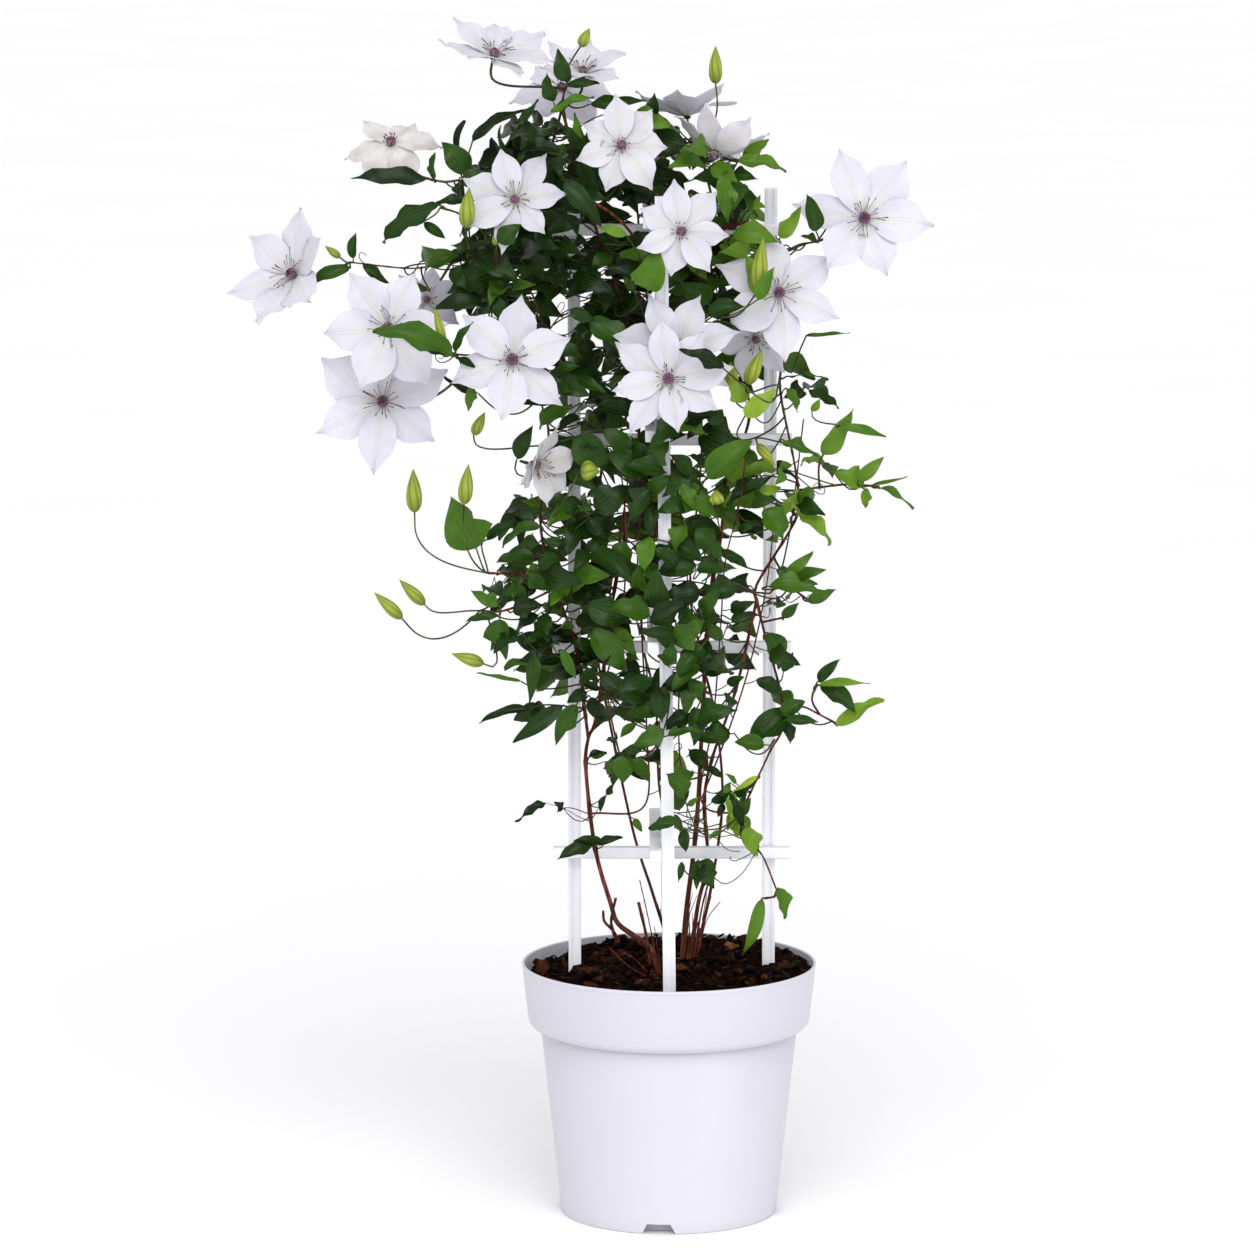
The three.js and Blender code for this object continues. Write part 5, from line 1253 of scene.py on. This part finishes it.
def make_sepals(name, bloom, plan, finish):
    """The sepals of one bloom: grids with three ribs, wavy edges, a twist and a hooked point."""
    at, facing, _, count, _, _ = bloom
    at = Vector(at)
    axis, across, normal = bloom_axes(facing)
    rng = random.Random(f"sepals {name}")
    bm = bmesh.new()
    bm.loops.layers.uv.new("UVMap")
    age = bm.verts.layers.float.new("age")
    widest = SEPAL_WIDTH - SEPAL_NARROWING * (count - 6)
    dish = math.sin(math.radians(SEPAL_FOLD))
    for turn, lift, length in plan:
        turn, lift = math.radians(turn), math.radians(lift)
        out = across * math.cos(turn) + normal * math.sin(turn)
        start = at + out * 1.2
        length *= rng.uniform(0.93, 1.05)
        tip = at + out * (length * math.cos(lift)) + axis * (length * math.sin(lift))
        arch = SEPAL_ARCH * rng.uniform(-0.4, 2.2)
        phase, ripples, wave = rng.uniform(0, math.tau), rng.uniform(1.6, 3.8), rng.uniform(0.02, 0.06)
        twist, hook, lean = rng.uniform(-0.34, 0.34), rng.uniform(-0.16, 0.2), rng.uniform(-0.2, 0.2)
        broad = widest * rng.uniform(0.82, 1.12) * FULL_BLOOMS.get(name, 1)
        for v in bmesh.ops.create_grid(bm, x_segments=8, y_segments=12, size=0.5, calc_uvs=True)["verts"]:
            a, s = v.co.x * 2, bunched(v.co.y + 0.5, 0.65)
            centre, side, up = blade_frame(start, tip, axis, arch, s)
            half = 0.5 * broad * length * sepal_outline(s)
            ripple = math.sin(math.tau * ripples * s + phase + (2.1 if a > 0 else 0))
            ribs = abs(math.sin(a * 9)) if abs(a) < 0.35 else 0
            rise = abs(a) ** 1.5 * half * dish * (1 - s)
            rise += length * wave * a * a * s * ripple
            rise += a * half * twist * s + length * hook * max(0, s - 0.6) ** 2 * 2
            rise += 0.55 * ribs * (1 - s) ** 0.5
            v.co = centre + side * (a * half + lean * length * s * s * (1 - s)) + up * rise
            v[age] = OLD_BLOOMS.get(name, 0)
    bmesh.ops.remove_doubles(bm, verts=bm.verts, dist=0.02)
    piece = finish_piece(f"white_sepals_{name}", to_mesh("sepals", bm), [finish], [f"sepals_{name}"])
    thicken(piece, SEPAL_THICKNESS)


# A crown's finishes, by their place in its list.
FILAMENT, ANTHER, STYLE, RECEPTACLE = range(4)
# Upright stamens: share of the crown's girth and number in each ring.
STAMEN_RINGS = ((1, 24), (0.72, 17), (0.4, 9))


def add_tubes(bm, lines, sides, material, along):
    """Tubes along lines, and how far along a stamen each of their points is."""
    mesh = tubes(lines, sides)
    note(mesh, "along", along)
    first = len(bm.faces)
    bm.from_mesh(mesh)
    bm.faces.ensure_lookup_table()
    for face in bm.faces[first:]:
        face.material_index = material


def add_ball(bm, segments, rings, radius, stretch, turn, place, material):
    """A ball, stretched, turned and put in its place."""
    ball = bmesh.ops.create_uvsphere(bm, u_segments=segments, v_segments=rings, radius=radius)["verts"]
    bmesh.ops.scale(bm, vec=stretch, verts=ball)
    bmesh.ops.rotate(bm, verts=ball, cent=(0, 0, 0), matrix=turn)
    bmesh.ops.translate(bm, verts=ball, vec=place)
    for v in ball:
        for face in v.link_faces:
            face.material_index = material


def make_crown(name, bloom, finishes):
    """The middle of a bloom: a ring of upright stamens closed over the styles, and a few that spread out."""
    at, facing, reach, _, _, cup = bloom
    at = Vector(at)
    axis, across, normal = bloom_axes(facing)
    rng = random.Random(f"crown {name}")
    size = reach / 56
    girth = (0.86 if name in CLOSED_CROWNS else 0.74) * size
    slope = math.tan(math.radians(max(cup, 0) + 5.5))
    floor = HUB_FRONT + 2.4 * slope
    spread, pale, dark, tips = [], [], [], []

    def place(turn, r, h):
        return at + axis * h + across * (r * math.cos(turn)) + normal * (r * math.sin(turn))

    def height_of(p):
        return (p - at).dot(axis)

    def along_spread(p):
        return (p - at - axis * height_of(p)).length / 12

    def along_upright(p):
        return (height_of(p) - floor) / 8

    for i in range(SPREAD_STAMENS):
        turn = math.tau * i / SPREAD_STAMENS * 5 + rng.uniform(-0.25, 0.25)
        out = rng.uniform(8, 17) * size * CLOSED_CROWNS.get(name, 1)
        high = rng.uniform(2, 6) + out * slope
        knee = place(turn, 3.2 + out * 0.2, floor + high * 0.7)
        base, end = place(turn, 2.2, floor), place(turn + rng.uniform(-0.2, 0.2), out, floor + high)
        rise = base.lerp(knee, 0.6).lerp(knee.lerp(end, 0.2), 0.45)
        line = [base, rise, knee.lerp(end, 0.35), knee.lerp(end, 0.7), end]
        spread.append((line, [0.36, 0.32, 0.28, 0.26, 0.24]))
        tips.append((line[-2], end))
    for ring, number in STAMEN_RINGS:
        for i in range(number):
            turn = math.tau * (i + rng.uniform(-0.2, 0.2)) / number + ring
            r = 5.6 * girth * ring
            lean = rng.uniform(-0.1, 0.25)
            top = floor + (8.2 - 2.6 * ring * ring) * size * rng.uniform(0.93, 1.05)
            line = [place(turn, 2.6 * ring, floor), place(turn + lean * 0.4, r * 0.95, floor + 2.6 * size),
                    place(turn + lean * 0.7, r, floor + 4.6 * size), place(turn + lean, r * 0.62, top)]
            (dark if i % 2 else pale).append((line, [0.5, 0.68, 0.72, 0.5]))

    bm = bmesh.new()
    add_tubes(bm, spread, 4, FILAMENT, along_spread)
    add_tubes(bm, pale, 6, STYLE, along_upright)
    add_tubes(bm, dark, 6, ANTHER, along_upright)
    bmesh.ops.scale(bm, vec=(1 / MM,) * 3, verts=bm.verts)
    for before, end in tips:
        line = (end - before).normalized()
        turn = UP.rotation_difference(line).to_matrix()
        add_ball(bm, 5, 4, 1, (0.46, 0.46, 1.6), turn, end + line * 1.2, ANTHER)
    upright = UP.rotation_difference(axis).to_matrix()
    core = at + axis * (floor + 2.6 * size)
    add_ball(bm, 12, 8, 4.5 * girth, (1, 1, 1.2), upright, core, ANTHER)
    add_ball(bm, 12, 8, 3.1, (1, 1, 0.62), upright, at + axis * -0.7, RECEPTACLE)
    finish_piece(f"crown_{name}", to_mesh("crown", bm), finishes, [f"stamens_{name}"])


# ---- More leaves than the solids have ----
# Swing from the stalk's own direction in radians, length of stem and share of length of three leaflets.
TRIO = ((0, 6, 1), (1.15, 4, 0.78), (-1.15, 4, 0.78))


def growth_at(x, z):
    """How freely leaves grow at this place, compared with elsewhere."""
    share = 1
    for px, pz, radius, much in THICKER:
        share *= 1 + (much - 1) * math.exp(-((x - px) ** 2 + (z - pz) ** 2) / radius ** 2)
    return share


def foliage_edges(z):
    for low, high in zip(FOLIAGE, FOLIAGE[1:]):
        if low[0] <= z <= high[0]:
            t = (z - low[0]) / (high[0] - low[0])
            return low[1] + (high[1] - low[1]) * t, low[2] + (high[2] - low[2]) * t
    return 0, 0


def chance_at(height):
    """How often a stalk starts at this height: seldom near the foot, and most in the crown."""
    for limit, chance in ((480, 0.12), (700, 0.7), (800, 1)):
        if height < limit:
            return chance
    return 3.5


class Room:
    """Where one more leaf has room: clear of posts, bars and other leaves, and not before a bloom or bud."""

    # Side of the boxes that leaves are sorted into, and how far leaves may stand from the middle plane.
    BOX, DEEPEST = 9, 118
    # How far leaves keep from other leaves, posts and bars, blooms, and buds behind them.
    LEAF_ROOM, POST_ROOM, BLOOM_ROOM, BUD_ROOM = 7.5, 4.5, 6, math.sqrt(200)

    def __init__(self):
        self.posts = node_surface([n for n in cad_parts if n.startswith(("post_", "bar_"))])
        self.blooms = node_surface([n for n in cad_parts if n.startswith(("sepals_", "stamens_"))])
        self.eye = Vector(CAMERA_PLACE) / MM
        self.taken = {}
        for vine in VINES:
            for hub, tip, *_ in leaves[vine]:
                self.take(hub, tip)

    def box(self, p):
        return tuple(int(c // self.BOX) for c in p)

    def take(self, hub, tip):
        for share in (0.25, 0.5, 0.75):
            p = hub.lerp(tip, share)
            self.taken.setdefault(self.box(p), []).append(p)

    def near(self, p):
        """The places of other leaves in the boxes round this one."""
        x, y, z = self.box(p)
        for dx, dy, dz in product((-1, 0, 1), repeat=3):
            yield from self.taken.get((x + dx, y + dy, z + dz), ())

    def hides_bloom(self, p):
        return self.blooms.ray_cast(p, (p - self.eye).normalized())[0] is not None

    def hides_bud(self, p):
        return any(math.hypot(p.x - base.x, p.z - base.z) < self.BUD_ROOM and p.y < base.y
                   for vine in VINES for base, _, _ in buds[vine])

    def fits(self, hub, tip):
        left, right = foliage_edges(tip.z)
        if not (left < tip.x < right) or abs(tip.y) > self.DEEPEST:
            return False
        for share in (0.2, 0.5, 0.8, 1):
            p = hub.lerp(tip, share)
            if self.posts.find_nearest(p)[3] < self.POST_ROOM:
                return False
            if self.blooms.find_nearest(p)[3] < self.BLOOM_ROOM or self.hides_bloom(p) or self.hides_bud(p):
                return False
            if any((p - q).length < self.LEAF_ROOM for q in self.near(p)):
                return False
        return True


def grow_trios(room, rng):
    """Groups of three leaflets on one stalk, wherever there is room, till there are enough leaves."""
    sites = stems_between(*TRIO_BAND)
    chances = [chance_at(s[1].z) for s in sites]
    grown = 0
    for _ in range(TRIO_TRIES):
        vine, start = rng.choices(sites, chances)[0]
        out = level(rng.uniform(0, math.tau))
        reach = rng.uniform(16, 62)
        fork = start + out * reach + UP * (reach * rng.uniform(-0.1, 0.55))
        if rng.random() * 4 > growth_at(fork.x + out.x * 15, fork.z):
            continue
        front = -1 if out.y < 0.25 else 1
        made = []
        for swing, stem, share in TRIO:
            heading = Quaternion(UP, swing + rng.uniform(-0.25, 0.25)) @ out
            heading = (heading + UP * rng.uniform(-0.75, 0.3)).normalized()
            hub = fork + heading * stem
            tip = hub + heading * (rng.uniform(28, 50) * share)
            face = leaf_face(hub, tip, front, rng.uniform(-32, 32))
            if (tip - hub).normalized().cross(face).length > 0.35 and room.fits(hub, tip):
                made.append((hub, tip, face, rng.uniform(0.4, 0.64)))
        if len(made) < 2:
            continue
        along = (fork - start).normalized()
        add_stalk(vine, stalk_line(start, fork, along, (0, 0, rng.uniform(-0.2, 0.1)), 5), 0.8, 0.6)
        tone = rng.gauss(0.11, 0.08) if rng.random() < 0.76 else rng.gauss(0.46, 0.14)
        tone = min(0.9, max(0.02, tone))
        if fork.x < -60 and fork.z > 720:
            tone *= 0.6
        for hub, tip, face, width in made:
            add_stalk(vine, [fork, fork.lerp(hub, 0.5), hub], 0.6, 0.5)
            add_leaf(vine, hub, tip, face, width, tone + rng.uniform(-0.05, 0.05))
            room.take(hub, tip)
        grown += len(made)
        if grown >= TRIO_LEAVES:
            break


def grow_over_front_post(room, rng):
    """Single leaves on long stalks, that hang in front of the front post."""
    sites = [s for s in stems_between(*FRONT_BAND) if abs(s[1].x) < 62 and s[1].y > -75]
    for _ in range(FRONT_TRIES):
        vine, start = rng.choice(sites)
        hub = Vector((rng.uniform(-22, 26), rng.uniform(-104, -92), start.z + rng.uniform(-20, 25)))
        heading = Vector((rng.uniform(-1, 1), rng.uniform(-0.25, 0.05), rng.uniform(-0.9, 0.5))).normalized()
        tip = hub + heading * rng.uniform(24, 40)
        face = leaf_face(hub, tip, -1, rng.uniform(-25, 25))
        line = stalk_line(start, hub, Vector((0, -1, 0)), (0, 0, -0.1), 6)
        if any(room.posts.find_nearest(p)[3] < 2 for p in line) or not room.fits(hub, tip):
            continue
        add_stalk(vine, line, 0.8, 0.6)
        add_leaf(vine, hub, tip, face, rng.uniform(0.45, 0.62), rng.gauss(0.24, 0.12))
        room.take(hub, tip)


def add_small_leaves():
    rng = random.Random(SEEDS["small"])
    for row in SMALL_LEAVES:
        hub, tip, (width,) = leaf_ends(row)
        face = leaf_face(hub, tip, -1, rng.uniform(-25, 25))
        vine, start = roots(hub)[0]
        add_leaf(vine, hub, tip, face, width, tone_of(hub, rng))
        add_stalk(vine, stalk_line(start, hub, (tip - hub).normalized(), (0, 0, -0.1), 6), 0.75, 0.6)


def add_low_leaves():
    """The few low leaves. Those at the left grow from broken twigs, and need no stalk of their own."""
    for row in LOW_LEAVES:
        hub, tip, (width, tone) = leaf_ends(row)
        vine, start = roots(hub)[0]
        add_leaf(vine, hub, tip, leaf_face(hub, tip, -1, 10), width, tone)
        if (start - hub).length < 30 or hub.x > -10:
            along = (tip - hub).normalized()
            add_stalk(vine, stalk_line(start, hub, along, (0, 0, -0.05), 5), 0.6, 0.45)


def from_stem(points):
    """The stem that is nearest to a line's first point, and the line from there on."""
    path = [Vector(p) for p in points]
    vine, start = roots(path[0])[0]
    return vine, [start] + path


def add_shoots():
    """Old bare bends, and thin red shoots with a small leaf every 35 mm or so."""
    rng = random.Random(SEEDS["shoots"])
    for points, thick, thin in OLD_BENDS:
        _, path = from_stem(points)
        shoots.append(smooth_line(path, [thick] * 3 + [thin] * (len(points) - 2), 5))
    for points in SHOOTS:
        vine, path = from_stem(points)
        path, size = smooth_line(path, [1.0] + [0.85 - 0.06 * i for i in range(len(points))], 5)
        shoots.append((path, size))
        for i in range(6, len(path) - 1, 7):
            out = Vector((rng.uniform(-1, 1), rng.uniform(-0.5, 0.1), rng.uniform(-0.5, 0.6))).normalized()
            hub = path[i] + out * rng.uniform(7, 16)
            tip = hub + (out + Vector((0, 0, rng.uniform(-0.7, 0.2)))).normalized() * rng.uniform(14, 32)
            add_stalk(vine, [path[i], path[i].lerp(hub, 0.5) + Vector((0, 0, -0.6)), hub], 0.55, 0.45)
            face = leaf_face(hub, tip, -1, rng.uniform(-30, 30))
            add_leaf(vine, hub, tip, face, rng.uniform(0.4, 0.6), rng.choice((0.1, 0.15, 0.3, 0.5)))


def add_tendrils():
    """Long loose tendrils, and short ones that reach out and wind up at the end."""
    rng = random.Random(SEEDS["tendrils"])
    for points in TENDRILS:
        vine, path = from_stem(points)
        path, _ = smooth_line(path, [1] * len(path), 4)
        add_stalk(vine, path, 0.55, 0.35)
    sites = stems_between(*TENDRIL_BAND)
    for _ in range(CURLED_TENDRILS):
        vine, start = rng.choice(sites)
        turn = rng.uniform(0, math.tau)
        out = Vector((math.cos(turn), math.sin(turn), rng.uniform(-0.5, 0.5))).normalized()
        side = out.cross(UP).normalized()
        reach, curl, turns = rng.uniform(18, 50), rng.uniform(3, 9), rng.uniform(1.5, 7)
        line = []
        for k in range(17):
            t = k / 16
            spin = max(0, t - 0.4) / 0.6 * turns
            size = curl * (1 - t * 0.4)
            ahead = reach * min(t, 0.45 + 0.3 * (t - 0.45)) + size * math.sin(spin)
            rise = size * (1 - math.cos(spin)) - reach * 0.15 * t
            line.append(start + out * ahead + side * (reach * 0.25 * t * t) + UP * rise)
        add_stalk(vine, line, 0.6, 0.3)


def brighten_young():
    """Turns many leaves near the young growth, and all the broad ones there, a brighter green."""
    rng = random.Random(SEEDS["young"])
    for vine in VINES:
        for i, (hub, tip, face, width, tone) in enumerate(leaves[vine]):
            broad = width > 0.7
            for x, z, radius in YOUNG:
                near = math.hypot(hub.x - x, hub.z - z) / radius
                if near < 1 and hub.y < 20 and (rng.random() < 0.6 or broad):
                    tone = max(tone, 0.48 if broad else 0.95 - 0.5 * near)
            leaves[vine][i] = (hub, tip, face, width, tone)


def peeled_strips(path, size, rng):
    """Strips of bark that stand off a cane's foot."""
    for _ in range(PEELED_STRIPS):
        out = level(rng.uniform(0, math.tau))
        low = path[1].lerp(path[2], rng.uniform(0, 0.5))
        high = path[1].lerp(path[2], rng.uniform(0.6, 1.3))
        thick = size[1] * 0.62
        yield [low + out * thick, low.lerp(high, 0.5) + out * (thick + 0.4),
               high + out * (thick + rng.uniform(1, 6))], [0.35, 0.5, 0.2]


def make_foot_twigs(finish):
    """Broken dry twigs in the soil, bark that peels off the canes' feet, and the red shoots."""
    rng = random.Random(SEEDS["twigs"])
    lines = []
    for points, thick, thin in FOOT_TWIGS:
        path, size = smooth_line([Vector(p) for p in points], [thick] + [thin] * (len(points) - 1), 4)
        lines.append((path, [r * rng.uniform(0.85, 1.15) for r in size]))
    for vine in VINES:
        for path, size in canes[vine]:
            if path[0].z <= POT_HEIGHT:
                lines.extend(peeled_strips(path, size, rng))
    mesh = tubes(lines + shoots, 6)
    note(mesh, "tone", lambda p: 0)
    finish_piece("foot_twigs", mesh, [finish])


# ---- Floor, light and camera ----
def floor_paint():
    f = Finish("pale_floor", 0.7)
    f.colour(f.ramp(f.noise(1.5, 2), (0.3, grey(0.97)), (0.7, grey(0.985))))
    return f.material


def soft_light(name, place, target, size, power):
    lamp = bpy.data.lights.new(name, "AREA")
    lamp.size = size
    lamp.energy = power
    holder = add_object(name, lamp)
    holder.location = place
    holder.rotation_euler = (Vector(target) - Vector(place)).to_track_quat("-Z", "Y").to_euler()


def set_floor():
    bm = bmesh.new()
    bmesh.ops.create_grid(bm, x_segments=4, y_segments=4, size=40)
    mesh = to_mesh("studio_floor", bm, scale=False)
    mesh.materials.append(floor_paint())
    add_object("studio_floor", mesh)


def set_lights():
    """A pale sky, a soft sun from the front, and a large lamp at each side in front."""
    bpy.context.scene.view_settings.view_transform = "Standard"
    world = bpy.data.worlds.new("studio")
    bpy.context.scene.world = world
    world.use_nodes = True
    background = world.node_tree.nodes["Background"]
    background.inputs["Color"].default_value = SKY_COLOUR
    background.inputs["Strength"].default_value = SKY_POWER

    sun = bpy.data.lights.new("skylight", "SUN")
    sun.energy = SUN_POWER
    sun.angle = math.radians(SUN_SOFTNESS)
    add_object("skylight", sun).rotation_euler = (math.radians(SUN_TILT), 0, math.radians(SUN_SIDE))
    soft_light("key_light", place=(-1.5, -2.5, 1.4), target=(0, 0, 0.65), size=1.1, power=9.5)
    soft_light("fill_light", place=(2.0, -2.2, 0.45), target=(0, 0, 0.7), size=1.2, power=12)


def set_camera():
    camera = bpy.data.cameras.new("camera")
    camera.lens = CAMERA_LENS
    camera.sensor_width = 36
    camera.clip_end = 200
    holder = add_object("camera", camera)
    holder.location = CAMERA_PLACE
    holder.rotation_euler = (math.radians(90 - CAMERA_DIP), 0, 0)
    bpy.context.scene.camera = holder


def plan_growth():
    """Lays out all that grows, in the order in which the solids were grown and then what they don't have."""
    plan_canes()
    sepals = plan_sepals()
    plan_flower_stalks_and_buds()
    plan_leaves()
    add_shoots()
    add_small_leaves()
    rng = random.Random(SEEDS["fill"])
    room = Room()
    grow_trios(room, rng)
    grow_over_front_post(room, rng)
    brighten_young()
    add_low_leaves()
    add_tendrils()
    return sepals


# ---- Putting it together ----
set_floor()
set_lights()
set_camera()
sepal_plan = plan_growth()

plastic = pot_plastic()
make_pot(plastic)
make_notch_roofs(plastic)
make_soil(potting_soil())
make_chips(chip_bark())
make_trellis(trellis_plastic())

bark, stalk_green, bud_green = cane_bark(), green_stalk(), bud_finish()
leaf_sides = [leaf_finish("leaf_top", False), leaf_finish("leaf_underside", True)]
for vine in VINES:
    make_canes(vine, bark)
    make_stalks(vine, stalk_green)
    make_leaves(vine, leaf_sides)
    make_buds(vine, bud_green)
make_foot_twigs(bark)

white, crown_finishes = sepal_finish(), [filament_finish(), anther_finish(), style_finish(), stalk_green]
for i, bloom in enumerate(BLOOMS):
    name = f"{i + 1:02d}"
    make_sepals(name, bloom, sepal_plan[i], white)
    make_crown(name, bloom, crown_finishes)
